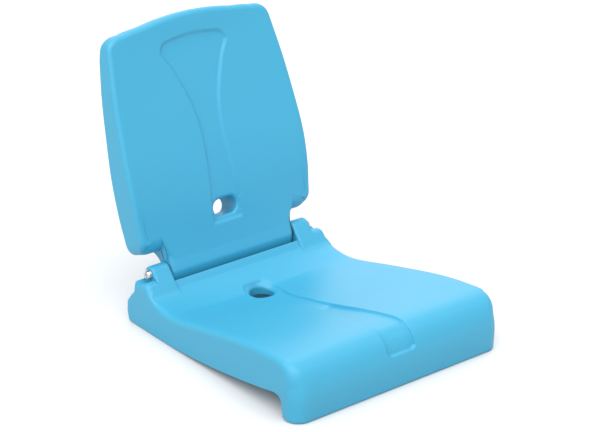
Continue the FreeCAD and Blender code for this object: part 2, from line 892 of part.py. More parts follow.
def cylinder(document, name, diameter, height, start="0"):
    """A cylinder along its own axis, bound to the sheet."""
    item = bound(document, "Cylinder", name, Radius="(" + diameter + ") / 2", Height=height)
    item.setExpression("Placement.Base.z", start)
    return item


def joined(document, name, pieces):
    """Union of several pieces."""
    item = document.addObject("Part::MultiFuse", name)
    item.Shapes = pieces
    return item


def removed(document, name, base, tool):
    """One piece with another taken away."""
    item = document.addObject("Part::Cut", name)
    item.Base = base
    item.Tool = tool
    return item


EAR_SPAN = "Sizes.side_clearance + Sizes.bush_flange_thickness + Sizes.ear_width"


def make_bolt(document, name):
    """Shoulder bolt: thread, shoulder, button head with a hexagon socket."""
    reach = EAR_SPAN + " + Sizes.side_clearance + Sizes.washer_thickness"
    thread = cylinder(
        document,
        name + "_thread",
        "Sizes.thread_diameter - 2 * Sizes.fixed_clearance",
        "Sizes.thread_length - 2 + 0.5",
        "2 - Sizes.thread_length",
    )
    shoulder = cylinder(document, name + "_shoulder", "Sizes.shoulder_diameter", reach)
    collar = cylinder(
        document, name + "_collar", "Sizes.bolt_head_diameter", "1.5", reach
    )
    head = bound(
        document,
        "Cone",
        name + "_head",
        Radius1="Sizes.bolt_head_diameter / 2",
        Radius2="Sizes.bolt_head_diameter * 0.33",
        Height="Sizes.bolt_head_height - 1.5",
    )
    head.setExpression("Placement.Base.z", reach + " + 1.5")
    socket = bound(
        document,
        "Prism",
        name + "_socket",
        Circumradius="Sizes.bolt_socket / 1.732",
        Height="Sizes.bolt_socket_depth + 1",
    )
    socket.Polygon = 6
    socket.setExpression(
        "Placement.Base.z", reach + " + Sizes.bolt_head_height - Sizes.bolt_socket_depth"
    )
    solid = joined(document, name + "_solid", [thread, shoulder, collar, head])
    return removed(document, name, solid, socket)


def make_washer(document, name):
    """Plain washer between the bolt head and the ear."""
    start = EAR_SPAN + " + Sizes.side_clearance"
    disc = cylinder(
        document, name + "_disc", "Sizes.washer_diameter", "Sizes.washer_thickness", start
    )
    hole = cylinder(
        document,
        name + "_hole",
        "Sizes.shoulder_diameter + 2 * Sizes.running_clearance",
        "Sizes.washer_thickness + 2",
        start + " - 1",
    )
    return removed(document, name, disc, hole)


def make_bush(document, name):
    """Flanged plastic bush pressed into an ear from the inside."""
    flange = cylinder(
        document,
        name + "_flange",
        "Sizes.bush_flange_diameter",
        "Sizes.bush_flange_thickness",
        "Sizes.side_clearance",
    )
    sleeve = cylinder(
        document,
        name + "_sleeve",
        "Sizes.bush_diameter",
        "Sizes.bush_flange_thickness + Sizes.ear_width",
        "Sizes.side_clearance",
    )
    hole = cylinder(
        document,
        name + "_hole",
        "Sizes.shoulder_diameter + 2 * Sizes.running_clearance",
        EAR_SPAN + " + 10",
        "-5",
    )
    solid = joined(document, name + "_solid", [flange, sleeve])
    return removed(document, name, solid, hole)


def make_tube(document, name):
    """Steel hinge tube through the tongue, tapped at both ends."""
    length = "2 * Sizes.tongue_half_width"
    start = "-Sizes.tongue_half_width"
    outer = cylinder(document, name + "_outer", "Sizes.tube_diameter", length, start)
    bore = cylinder(
        document, name + "_bore", "Sizes.thread_diameter", length + " + 10", start + " - 5"
    )
    return removed(document, name, outer, bore)


def make_inserts(document, name, d):
    """The four threaded inserts of the fixing bosses, each a solid of its own."""
    inserts = []
    for number, (x, back) in enumerate(fixing_points(d)):
        label = name + "_" + str(number)
        barrel = cylinder(
            document, label + "_barrel", "Sizes.insert_diameter", "Sizes.insert_length"
        )
        bore = cylinder(
            document, label + "_bore", "Sizes.insert_bore", "Sizes.insert_length - 2", "-1"
        )
        solid = removed(document, label, barrel, bore)
        solid.Placement.Base = Vector(x, d.front_datum + back, d.fixing_boss_lift)
        inserts.append(solid)
    group = document.addObject("Part::Compound", name)
    group.Links = inserts
    return group


def make_shell(document, name, shape):
    """A moulded shell whose free form is built from the sheet's sizes."""
    item = document.addObject("Part::Feature", name)
    item.Shape = shape
    return item


def on_axis(d, side):
    """Placement on the hinge axis at one side of the tongue, pointing outward."""
    centre = side_point(d, d.hinge_back, d.hinge_height)
    base = Vector(side * d.tongue_half_width, centre.y, centre.z)
    turn = FreeCAD.Rotation(Vector(0, 0, 1), Vector(side, 0, 0))
    return FreeCAD.Placement(base, turn)


def make_pieces(document, d):
    """Builds every piece and puts it in its place."""
    centre = side_point(d, d.hinge_back, d.hinge_height)
    lean = FreeCAD.Rotation(Vector(1, 0, 0), -d.recline_angle)
    pieces = [make_shell(document, "seat_shell", build_seat_shell(d))]
    back = make_shell(document, "back_shell", build_back_shell(d))
    back.Placement = FreeCAD.Placement(centre, lean)
    pieces.append(back)
    tube = make_tube(document, "hinge_tube")
    tube.Placement = FreeCAD.Placement(centre, FreeCAD.Rotation(Vector(0, 1, 0), 90))
    pieces.append(tube)
    for side, word in ((-1, "left"), (1, "right")):
        for maker, name in (
            (make_bolt, "hinge_bolt_"),
            (make_washer, "hinge_washer_"),
            (make_bush, "hinge_bush_"),
        ):
            item = maker(document, name + word)
            item.Placement = on_axis(d, side)
            pieces.append(item)
    pieces.append(make_inserts(document, "fixing_inserts", d))
    return pieces


def main():
    """Builds every piece, checks it and writes one file for each."""
    document = FreeCAD.newDocument("StadiumSeat")
    sheet = make_sheet(document)
    pieces = make_pieces(document, Reader(sheet))
    document.recompute()
    for item in document.Objects:
        if "Invalid" in item.State or "Error" in item.State:
            raise RuntimeError("not built: " + item.Name)
    os.makedirs("parts", exist_ok=True)
    for item in pieces:
        if item.Shape.isNull() or not item.Shape.isValid():
            raise RuntimeError("bad shape: " + item.Name)
        item.Shape.exportStep("parts/" + item.Name + ".step")


main()
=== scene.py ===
"""Studio scene of a folding stadium seat with a blow-moulded seat and back rest.

The two shells are surfaces built from side profiles and a front outline in millimetres.
Places along the seat are distances behind its front face, and the back rest is drawn
upright about its hinge axis and then leaned back.
"""

import json
import logging
import math
from dataclasses import dataclass
from enum import Enum, IntEnum

import bmesh
import bpy
import numpy as np
from mathutils import Matrix, Vector
from mathutils.geometry import delaunay_2d_cdt

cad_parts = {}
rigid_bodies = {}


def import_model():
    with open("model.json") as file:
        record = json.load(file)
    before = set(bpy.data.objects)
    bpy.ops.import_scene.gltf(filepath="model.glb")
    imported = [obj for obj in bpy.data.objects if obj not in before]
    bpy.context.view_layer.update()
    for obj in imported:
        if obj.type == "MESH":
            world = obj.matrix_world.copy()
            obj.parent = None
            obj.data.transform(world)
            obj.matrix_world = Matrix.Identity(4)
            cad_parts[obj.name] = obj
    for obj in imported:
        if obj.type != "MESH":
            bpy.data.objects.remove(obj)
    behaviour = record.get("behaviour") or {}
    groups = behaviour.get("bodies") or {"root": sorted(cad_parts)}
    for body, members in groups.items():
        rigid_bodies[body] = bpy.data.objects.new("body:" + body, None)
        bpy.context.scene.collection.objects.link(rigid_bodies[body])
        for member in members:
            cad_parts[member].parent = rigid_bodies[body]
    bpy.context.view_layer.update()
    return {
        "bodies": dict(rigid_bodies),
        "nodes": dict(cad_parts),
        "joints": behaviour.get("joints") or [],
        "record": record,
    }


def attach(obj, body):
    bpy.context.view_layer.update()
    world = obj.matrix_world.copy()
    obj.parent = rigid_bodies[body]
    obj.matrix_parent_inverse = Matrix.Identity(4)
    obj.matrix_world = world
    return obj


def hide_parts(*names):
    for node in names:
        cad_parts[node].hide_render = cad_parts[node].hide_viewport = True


Array = np.ndarray
LOG = logging.getLogger("stadium_seat")
MM = 0.001

# Shared by the shells and the hinge, in millimetres of the frame
HINGE_Y = 160.5
HINGE_Z = 92.0
RECLINE = math.radians(19.7)
EAR_INNER = 136.8
TONGUE_HALF = 134.3

Window = tuple[tuple[int, int], tuple[int, int]]


# Plane curves

def smooth_step(value: float | Array) -> Array:
    """Eases from 0 to 1 over the same range.

    Args:
        value: number or array.

    Returns:
        Array of eased values, flat outside 0 to 1.
    """
    inside = np.clip(value, 0.0, 1.0)
    return inside * inside * (3 - 2 * inside)


def arc_lengths(path: Array) -> Array:
    """Distance along a path at each of its points."""
    steps = np.hypot(*np.diff(path, axis=0).T)
    return np.concatenate([[0.0], np.cumsum(steps)])


def resampled(path: Array, count: int) -> Array:
    """Evenly spaced points along a path.

    Args:
        path: array of plane points.
        count: how many points are wanted.

    Returns:
        Array of count points that starts and ends with the path.
    """
    lengths = arc_lengths(path)
    wanted = np.linspace(0.0, lengths[-1], count)
    return np.column_stack([np.interp(wanted, lengths, path[:, k]) for k in range(2)])


def spline_path(points: tuple | Array, count: int = 400) -> Array:
    """Smooth path through a few points, a natural cubic spline over their distances.

    Args:
        points: list of plane points.
        count: points of the finished path.

    Returns:
        Array of evenly spread plane points.
    """
    knots = np.asarray(points, float)
    place = arc_lengths(knots)
    gap = np.diff(place)
    number = len(knots)
    system = np.eye(number)
    sides = np.zeros((number, 2))
    slopes = np.diff(knots, axis=0) / gap[:, None]
    for k in range(1, number - 1):
        system[k, k - 1:k + 2] = (gap[k - 1], 2 * (gap[k - 1] + gap[k]), gap[k])
        sides[k] = 6 * (slopes[k] - slopes[k - 1])
    bends = np.linalg.solve(system, sides)
    wanted = np.linspace(0, place[-1], count * 4)
    span = np.clip(np.searchsorted(place, wanted) - 1, 0, number - 2)
    width = gap[span][:, None]
    low = (place[span + 1] - wanted)[:, None]
    high = (wanted - place[span])[:, None]
    path = bends[span] * low ** 3 / (6 * width) + bends[span + 1] * high ** 3 / (6 * width)
    path += (knots[span] / width - bends[span] * width / 6) * low
    path += (knots[span + 1] / width - bends[span + 1] * width / 6) * high
    return resampled(path, count)


def rounded_path(corners: list[tuple], step: float = 1.0) -> Array:
    """Open path through corners, each with its own rounding radius.

    Args:
        corners: list of (a, b, radius), the first and last with radius 0.
        step: spacing of points along the rounded corners.

    Returns:
        Array of plane points.
    """
    points = [np.array(corners[0][:2], float)]
    for before, corner, after in zip(corners[:-2], corners[1:-1], corners[2:]):
        tip = np.array(corner[:2], float)
        arriving = tip - np.array(before[:2], float)
        leaving = np.array(after[:2], float) - tip
        arriving /= np.linalg.norm(arriving)
        leaving /= np.linalg.norm(leaving)
        turn = math.atan2(arriving[0] * leaving[1] - arriving[1] * leaving[0],
                          float(arriving @ leaving))
        radius = corner[2]
        if radius <= 0 or abs(turn) < 1e-4:
            points.append(tip)
            continue
        cut = radius * math.tan(abs(turn) / 2)
        start = tip - arriving * cut
        side = np.array([-arriving[1], arriving[0]]) * math.copysign(radius, turn)
        centre = start + side
        steps = max(3, int(radius * abs(turn) / step))
        for angle in np.linspace(0, turn, steps + 1):
            turned = np.array([[math.cos(angle), -math.sin(angle)],
                               [math.sin(angle), math.cos(angle)]])
            points.append(centre - turned @ side)
    points.append(np.array(corners[-1][:2], float))
    return np.array(points)


def inward_normals(loop: Array) -> Array:
    """Unit normals of a closed plane loop that point to its inside.

    Args:
        loop: plane points in order, the first one not repeated.

    Returns:
        One unit vector for each point, square to the line between its neighbours.
    """
    ahead = np.roll(loop, -1, axis=0) - np.roll(loop, 1, axis=0)
    ahead /= np.maximum(np.hypot(*ahead.T), 1e-9)[:, None]
    normals = np.column_stack([-ahead[:, 1], ahead[:, 0]])
    after = np.roll(loop, -1, axis=0)
    area = np.sum(loop[:, 0] * after[:, 1] - loop[:, 1] * after[:, 0])
    return normals if area > 0 else -normals


def smoothed(values: Array, width: int) -> Array:
    """Values of a closed loop, averaged over a window of neighbours.

    Args:
        values: one number for each point of the loop.
        width: how many neighbours the window holds.

    Returns:
        Array of the weighted means.
    """
    kernel = np.hanning(width + 2)[1:-1]
    kernel /= kernel.sum()
    padded = np.concatenate([values[-width:], values, values[:width]])
    return np.convolve(padded, kernel, "same")[width:-width]


# Meshes

class Slot(Enum):
    """Material slots of the record."""

    SHELL = "shell_plastic"
    TUBE = "plated_steel"
    BOLT = "stainless_steel"
    BUSH = "bush_nylon"
    INSERT = "insert_brass"


class MeshBuilder:
    """Collects vertices and faces in millimetres and makes one closed mesh of them."""

    def __init__(self, name: str) -> None:
        """Starts an empty mesh.

        Args:
            name: name of the piece.
        """
        self.name = name
        self.blocks: list[Array] = []
        self.faces: list[list[int]] = []
        self.count = 0

    def add(self, points: Array) -> Array:
        """Adds vertices.

        Args:
            points: array whose last axis holds x, y and z.

        Returns:
            Array of vertex numbers with the shape of the remaining axes.
        """
        points = np.asarray(points, float)
        shape = points.shape[:-1]
        total = int(np.prod(shape))
        self.blocks.append(points.reshape(-1, 3))
        numbers = np.arange(self.count, self.count + total).reshape(shape)
        self.count += total
        return numbers

    def quads(self, grid: Array, keep: Array | None = None) -> None:
        """Adds the quads between neighbours of a grid of vertex numbers.

        Args:
            grid: two-way array of vertex numbers.
            keep: optional array of booleans, one for each quad.
        """
        corners = np.stack([grid[:-1, :-1], grid[1:, :-1], grid[1:, 1:], grid[:-1, 1:]], -1)
        if keep is not None:
            corners = corners[keep]
        self.faces += corners.reshape(-1, 4).tolist()

    def cap(self, numbers: Array, outline: Array) -> None:
        """Closes a flat loop with triangles.

        Args:
            numbers: vertex numbers of the loop.
            outline: plane places of the same vertices.
        """
        places = [Vector(place) for place in outline]
        result = delaunay_2d_cdt(places, [], [list(range(len(places)))], 1, 1e-7)
        if len(result[0]) != len(places):
            LOG.warning("%s: outline crosses itself", self.name)
        origin = [source[0] for source in result[3] if source]
        self.faces += [[int(numbers[origin[v]]) for v in face] for face in result[2]]

    def build(self, body: str, slot: Slot, material: bpy.types.Material,
              replaced: str, merge: float = 0.02) -> bpy.types.Object:
        """Makes the object, merges its seams and hands it to the frame.

        Args:
            body: CAD body that the piece rides on.
            slot: material slot of the record, not used.
            material: material of the piece.
            replaced: name of the CAD node that it stands for.
            merge: distance in millimetres under which vertices become one.

        Returns:
            The finished object.
        """
        mesh = bpy.data.meshes.new(self.name)
        points = np.concatenate(self.blocks) * MM
        mesh.from_pydata(points.tolist(), [], self.faces)
        work = bmesh.new()
        work.from_mesh(mesh)
        bmesh.ops.remove_doubles(work, verts=work.verts, dist=merge * MM)
        bmesh.ops.dissolve_degenerate(work, edges=work.edges, dist=merge * MM * 0.2)
        bmesh.ops.recalc_face_normals(work, faces=work.faces)
        work.to_mesh(mesh)
        work.free()
        mesh.polygons.foreach_set("use_smooth", [True] * len(mesh.polygons))
        item = bpy.data.objects.new(self.name, mesh)
        bpy.context.scene.collection.objects.link(item)
        item.data.materials.append(material)
        shade = item.modifiers.new("shading", "WEIGHTED_NORMAL")
        shade.weight = 60
        shade.keep_sharp = True
        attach(item, body)
        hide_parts(replaced)
        LOG.info("%s: %d vertices, %d faces", self.name, len(mesh.vertices), len(mesh.polygons))
        return item


def window_rim(grid: Array, first: int, last: int, low: int, high: int) -> Array:
    """Entries of a grid round one of its windows, in order.

    Args:
        grid: array over columns and rows.
        first: row to start from.
        last: row to turn back at, before or after the first.
        low: lowest column.
        high: highest column.

    Returns:
        Array of the entries along the window's border.
    """
    step = 1 if last > first else -1
    rows = np.arange(first, last, step)
    columns = np.arange(low, high)
    sides = [grid[columns, first], grid[high, rows]]
    sides += [grid[columns[::-1] + 1, last], grid[low, rows[::-1] + step]]
    return np.concatenate(sides)


def ring_between(outer: Array, inner: Array, share: float) -> Array:
    """Points between two rings of the same length, at a share of the way inwards."""
    return outer * (1 - share) + inner * share


# Seat shell

class Zone(Enum):
    """The three stretches across the seat, each with its own rear profile."""

    SLOT = "between the ears"
    EAR = "hinge ear"
    LEDGE = "outer ledge"


class Stretch(IntEnum):
    """The stretches of a side profile, in their order round the loop."""

    TOP = 0
    NOSE = 1
    LIP = 2
    LOW = 3
    WALL = 4
    REAR = 5


@dataclass(frozen=True)
class Column:
    """One column across the right half of the seat.

    The place is a distance from the middle, or on the ledge a share of the way out. The
    turns are the angles of the roundings at an ear's side and at the seat's side, and an
    ear's outer rounding has a negative one.
    """

    zone: Zone
    place: float
    ear_turn: float | None = None
    side_turn: float | None = None


@dataclass(frozen=True)
class SeatShape:
    """Sizes of the seat shell in millimetres, heights over the floor."""

    front: float = -294.0
    half_width: float = 222.5
    corner: float = 26.0
    taper: float = 0.057
    ear_inner: float = EAR_INNER
    ear_outer: float = 173.0
    ear_round: float = 4.5
    hinge_back: float = 454.5
    hinge_height: float = HINGE_Z
    ear_radius: float = 14.5
    ear_slope: float = 52.0
    ear_foot: float = 67.0
    recline: float = RECLINE
    tongue_gap: float = 15.0
    slot_crest: float = 19.5
    slot_foot: float = 34.0
    top_rear: float = 408.0
    top_front: float = 42.0
    foot_back: float = 376.0
    arch_back: float = 62.0
    arch_height: float = 36.0
    drain_back: float = 364.0
    drain_radius: float = 21.0
    flare: float = 9.0
    window: float = 44.0
    spacing: float = 1.0
    dish_half: float = 186.0
    pan_rise: float = 9.0
    pinch_height: float = 27.0
    ledge_height: float = 86.0
    pocket_radius: float = 14.5

    def side(self, back: float | Array) -> Array:
        """Half the width at a distance behind the front face."""
        return self.half_width - self.taper * np.asarray(back)


class SeatShell:
    """Outer surface of the seat, swept across from its side profiles."""

    CREST = ((420, 70.0), (416, 66.8), (396, 60), (366, 55.8), (331, 58.6), (299, 64.5),
             (266, 71.2), (221, 79.5), (189, 85.2), (145, 92.2), (116, 95.6), (90, 97.6),
             (62, 98.6), (36, 97.2), (16, 86), (4.5, 66), (0.3, 41), (1.4, 18), (2.6, 4))
    DISH = ((40, 0), (62, 0.5), (90, 2.6), (120, 5), (160, 8), (200, 10), (300, 11),
            (368, 10.5), (398, 5.5), (412, 2.5), (426, 0))
    LEDGE_SHARES = (0, 0.1, 0.25, 0.4, 0.48, 0.54, 0.6, 0.66, 0.74, 0.84, 0.93)
    CHANNEL = ((0, 30), (40, 28), (62, 26.5), (110, 20), (160, 16.5), (235, 15), (290, 17),
               (325, 22), (345, 28), (364, 30))
    POINTS = {Stretch.NOSE: 78, Stretch.LIP: 56, Stretch.WALL: 34, Stretch.REAR: 102}
    FIXING_ACROSS = (-110, 110)
    FIXING_BACK = (226, 446)
    BOSS = ((0, 20), (16, 20), (16, 3.2), (15.3, 1.6), (14, 1.0), (7.2, 1.0), (7.1, 8), (0, 8))

    def __init__(self, shape: SeatShape) -> None:
        """Works out the profiles.

        Args:
            shape: sizes of the shell.
        """
        self.shape = shape
        self.sizes: list[int] = []
        self.crest = spline_path(self.CREST, 3000)
        self.loops = {zone: self.closed_loop(zone) for zone in Zone}

    def rows(self) -> Array:
        """Distances behind the front that the top and the underside share at the drain."""
        s = self.shape
        return np.linspace(s.drain_back - s.window, s.drain_back + s.window, 25)

    def crest_height(self, back: float | Array) -> Array:
        """Height of the seating surface's side line."""
        upper = self.crest[self.crest[:, 1] > 55]
        return np.interp(back, upper[::-1, 0], upper[::-1, 1])

    def arch_line(self, back: float | Array) -> Array:
        """Height of the lower edge.

        Args:
            back: distances behind the front face.

        Returns:
            Heights: the arch's height times a power of the share of the way from the foot.
        """
        s = self.shape
        half = (s.foot_back - s.arch_back) / 2
        share = np.clip((s.foot_back - np.asarray(back)) / (2 * half), 0, 1)
        return s.arch_height * share ** 1.6

    def rear_profile(self, zone: Zone) -> Array:
        """Path from the seating surface to the neck of the rear wall.

        Args:
            zone: stretch across the seat.

        Returns:
            Array of side points, from the front to the rear.
        """
        s = self.shape
        start = (s.top_rear, float(self.crest_height(s.top_rear)), 0)
        low = (423.0, 67.3)
        end = (484, 50, 0)
        if zone is Zone.SLOT:
            lean = np.array([math.sin(s.recline), math.cos(s.recline)])
            ahead = np.array([-math.cos(s.recline), math.sin(s.recline)])
            hinge = np.array([s.hinge_back, s.hinge_height])
            crest = hinge + ahead * s.tongue_gap - lean * s.slot_crest
            foot = hinge + ahead * s.tongue_gap - lean * s.slot_foot
            brow = crest - np.array([2.2, 0.5])
            corners = [start, low + (8,), tuple(brow) + (1.2,), tuple(crest) + (0.8,),
                       tuple(foot) + (5,), (441, 54.6, 8), (479.5, 53.6, 3), end]
            return rounded_path(corners)
        slope = math.radians(s.ear_slope)
        centre = np.array([s.hinge_back, s.hinge_height])
        touch = centre + s.ear_radius * np.array([-math.sin(slope), math.cos(slope)])
        bend = touch - (touch[1] - s.ear_foot) * np.array([1 / math.tan(slope), 1])
        if zone is Zone.LEDGE:
            edge = touch - (touch[1] - s.ledge_height) * np.array([1 / math.tan(slope), 1])
            corners = [start, tuple(bend) + (16,), tuple(edge) + (13,),
                       (467.5, s.ledge_height + 0.5, 12), (471, 62, 9), end]
            return rounded_path(corners)
        front = rounded_path([start, tuple(bend) + (16,), tuple(touch) + (0,)])
        angles = np.radians(np.linspace(90 + s.ear_slope, 0, 40))
        dome = centre + s.ear_radius * np.column_stack([np.cos(angles), np.sin(angles)])
        rear = rounded_path([tuple(dome[-1]) + (0,), (470.5, 60, 7), end])
        return np.concatenate([front, dome[1:-1], rear])

    def closed_loop(self, zone: Zone) -> Array:
        """Side profile of one zone as a closed loop with the same points in every zone.

        Args:
            zone: stretch across the seat.

        Returns:
            Array of side points over top, nose, lip, underside, wall and rear.
        """
        s = self.shape
        rows = self.rows()
        span = s.top_rear - s.top_front
        top_back = np.unique(np.concatenate([
            np.linspace(s.top_front, rows[0], int(span / 4.5)), rows]))[::-1]
        top = np.column_stack([top_back, self.crest_height(top_back)])
        nose = self.crest[(self.crest[:, 0] < s.top_front) | (self.crest[:, 1] < 50)]
        nose = resampled(np.concatenate([[top[-1]], nose]), self.POINTS[Stretch.NOSE])[1:]
        lip = rounded_path([(2.6, 4, 0), (4, 0, 2), (44, 0, 16), (46.3, 34.0, 11),
                            (s.arch_back + 6, 35.0, 0)])
        lip = resampled(lip, self.POINTS[Stretch.LIP])
        low_back = np.unique(np.concatenate([
            np.linspace(s.arch_back + 10, rows[0], 60), rows,
            np.linspace(rows[-1], 478, 16)]))
        low = np.column_stack([low_back, self.arch_line(low_back)])
        wall = rounded_path([(479, 0, 0), (492, 0, 9), (496.5, 19, 16), (494.5, 38, 14),
                             (484, 50, 0)])
        wall = resampled(wall, self.POINTS[Stretch.WALL])
        rear = resampled(self.rear_profile(zone), self.POINTS[Stretch.REAR])[::-1]
        self.sizes = [len(top), len(nose), len(lip) - 1, len(low), len(wall), len(rear) - 2]
        return np.concatenate([top, nose, lip[1:], low, wall, rear[1:-1]])

    def part_of_loop(self, stretch: Stretch) -> slice:
        """Slice of the loop that belongs to one stretch."""
        start = sum(self.sizes[:stretch])
        return slice(start, start + self.sizes[stretch])

    def rounding(self) -> tuple[Array, Array, Array]:
        """Rounding of the outer edge along the loop.

        Returns:
            Arrays of its reach across, along the seat and upwards, signed inwards.
        """
        corner = self.shape.corner
        loop = self.loops[Zone.LEDGE]
        normals = inward_normals(loop)
        radius = np.full(len(loop), 10.0)
        nose = self.part_of_loop(Stretch.NOSE)
        radius[nose] = np.interp(loop[nose, 1], (5, 66, 97), (corner, corner + 3, 15))
        lip = self.part_of_loop(Stretch.LIP)
        radius[lip] = np.interp(loop[lip, 0], (4, 30), (corner, 5.0))
        radius[self.part_of_loop(Stretch.LOW)] = 3.5
        radius[self.part_of_loop(Stretch.WALL)] = 6.0
        rear = self.part_of_loop(Stretch.REAR)
        ledge = np.interp(loop[rear, 0], (442, 458), (10.5, 5.5))
        radius[rear] = np.where(loop[rear, 1] > 72, ledge, 4.5)
        radius = smoothed(radius, 10)
        along = normals[:, 0] * radius
        height = normals[:, 1] * np.where(loop[:, 1] < 30, np.minimum(radius, 3.5), radius)
        foot = (loop[:, 1] < 12) & (loop[:, 0] < 40)
        along = np.where(foot, corner * np.clip((40 - loop[:, 0]) / 36, 0, 1), along)
        return radius, along, height

    def ear_weight(self, outer: bool) -> Array:
        """How far the ear stands free of the rest along the loop.

        Args:
            outer: whether it is the side beside the ledge.

        Returns:
            Array of weights from 0 to 1.
        """
        loop = self.loops[Zone.EAR]
        weight = np.zeros(len(loop))
        part = self.part_of_loop(Stretch.REAR)
        back, height = loop[part].T
        front = smooth_step((back - 414) / 14)
        if outer:
            front = smooth_step((height - self.shape.ledge_height) / 5)
        rear = np.where(back > 462, smooth_step((height - 60) / 14), 1.0)
        weight[part] = front * rear
        return weight

    def columns(self) -> list[Column]:
        """Columns across the right half, from the middle to the outer side.

        Returns:
            List of columns.
        """
        s = self.shape
        r = s.ear_round
        slot = np.concatenate([np.arange(0, s.window + 0.1, s.spacing),
                               np.linspace(s.window + 6, 110, 8), np.linspace(114, s.ear_inner, 8)])
        turns = np.radians(np.linspace(90, 0, 7))
        result = [Column(Zone.SLOT, place) for place in slot]
        result += [Column(Zone.EAR, s.ear_inner + r * (1 - math.sin(turn)), turn) for turn in turns]
        ear = np.linspace(s.ear_inner + r + 5, s.ear_outer - r - 5, 4)
        result += [Column(Zone.EAR, place) for place in ear]
        result += [Column(Zone.EAR, s.ear_outer - r * (1 - math.sin(turn)), -turn)
                   for turn in turns[::-1]]
        result += [Column(Zone.LEDGE, share) for share in self.LEDGE_SHARES]
        turns = np.radians(np.linspace(0, 90, 11))
        return result + [Column(Zone.LEDGE, 1.0, None, turn) for turn in turns]

    def dish(self, back: Array, across: float | Array) -> Array:
        """Depth of the dish at a place of the seating surface.

        Args:
            back: distances behind the front face.
            across: places across the seat.

        Returns:
            Depth along the middle, times one less the square of the share of the half width.
        """
        backs, depths = np.array(self.DISH).T
        depth = np.interp(back, backs, depths, left=0, right=0)
        share = np.clip(1 - (np.abs(across) / self.shape.dish_half) ** 2, 0, None)
        return depth * share

    def channel(self, back: Array, height: Array, across: float | Array) -> Array:
        """Depth of the drain channel, which runs over the front roll.

        Args:
            back: distances behind the front face.
            height: heights of the undished surface.
            across: places across the seat.

        Returns:
            Depths, eased to nothing at the channel's sides and ends.
        """
        backs, halves = np.array(self.CHANNEL).T
        beyond = np.clip(back - self.shape.drain_back, 0, halves[-1])
        half = np.interp(back, backs, halves) - halves[-1] + np.sqrt(halves[-1] ** 2 - beyond ** 2)
        depth = np.interp(height, (55, 90, 97), (6.0, 5.0, 3.4))
        depth = np.where(back > 200, 3.4, depth)
        sides = smooth_step((half - np.abs(across)) / 2.0 + 0.5)
        corner = np.clip(np.abs(across) - half + 10, 0, None) ** 2 / 20
        ends = np.where(back < 60, smooth_step((height - 59 - corner) / 3.2), 1.0)
        ends = ends * smooth_step((self.shape.drain_back + 27 - back) / 4)
        return depth * sides * ends

    def pocket(self, loop: Array) -> Array:
        """Depth of the scoop across the ledge round the bolt's head.

        Args:
            loop: side points of a column.

        Returns:
            How far each point lies above a cylinder about the hinge axis.
        """
        s = self.shape
        reach = np.clip(s.pocket_radius ** 2 - (loop[:, 0] - s.hinge_back) ** 2, 0, None)
        floor = s.hinge_height - np.sqrt(reach)
        upper = (loop[:, 1] > 70) & (reach > 0) & (loop[:, 0] < 469)
        return np.where(upper, np.clip(loop[:, 1] - floor, 0, None), 0)

    def pan(self, back: Array, across: float | Array) -> Array:
        """Rise of the underside inside its resting rim.

        Args:
            back: distances behind the front face.
            across: places across the seat.

        Returns:
            Rise, eased to nothing at the rim.
        """
        s = self.shape
        inside = smooth_step((s.ear_outer + 5 - np.abs(across)) / 7)
        front = smooth_step((back - s.arch_back - 18) / 8)
        rear = smooth_step((468 - back) / 8)
        return s.pan_rise * inside * front * rear

    def column_points(self, column: Column) -> Array:
        """Points of one column on the right half.

        Args:
            column: where it runs.

        Returns:
            Array of points in space, in the order of the loop.
        """
        s = self.shape
        ear_turn, side_turn = column.ear_turn, column.side_turn
        loop = self.loops[column.zone].copy()
        normals = inward_normals(loop)
        if ear_turn is not None:
            inset = s.ear_round * (1 - math.cos(ear_turn)) * self.ear_weight(ear_turn < 0)
            loop += normals * inset[:, None]
        radius, along, height = self.rounding()
        if column.zone is Zone.LEDGE:
            edge = s.side(loop[:, 0])
            across = s.ear_outer + column.place * (edge - radius - s.ear_outer)
            if side_turn is not None:
                across = edge - radius * (1 - math.sin(side_turn))
                loop += np.column_stack([along, height]) * (1 - math.cos(side_turn))
            loop[:, 1] -= self.pocket(loop)
        else:
            across = np.full(len(loop), column.place)
        return self.shaped(loop, normals, across)

    def shaped(self, loop: Array, normals: Array, across: Array) -> Array:
        """Presses the dish, the channel and the pan into a column.

        Args:
            loop: side points of the column.
            normals: inward directions at these points.
            across: place across the seat at each point.

        Returns:
            Array of points in space.
        """
        back, height = loop.T
        top = np.zeros(len(loop), bool)
        top[:self.part_of_loop(Stretch.NOSE).stop] = True
        top[self.part_of_loop(Stretch.REAR)] = True
        seating = top & (back < 440) & (height > 50)
        press = self.dish(back, across) + self.channel(back, height, across)
        press = np.where(seating, press, 0)
        upright = smooth_step((back - 40) / 40)
        down = np.column_stack([np.zeros(len(loop)), -np.ones(len(loop))])
        way = down * upright[:, None] + normals * (1 - upright)[:, None]
        loop = loop + way * press[:, None]
        under = np.zeros(len(loop), bool)
        under[self.part_of_loop(Stretch.LOW)] = True
        loop[:, 1] += np.where(under, self.pan(back, across), 0)
        return np.column_stack([across, loop[:, 0] + self.shape.front, loop[:, 1]])

    def top_height(self, back: Array, across: Array) -> Array:
        """Height of the pressed seating surface."""
        height = self.crest_height(back)
        return height - self.dish(back, across) - self.channel(back, height, across)

    def low_height(self, back: Array, across: Array) -> Array:
        """Height of the underside."""
        return self.arch_line(back) + self.pan(back, across)

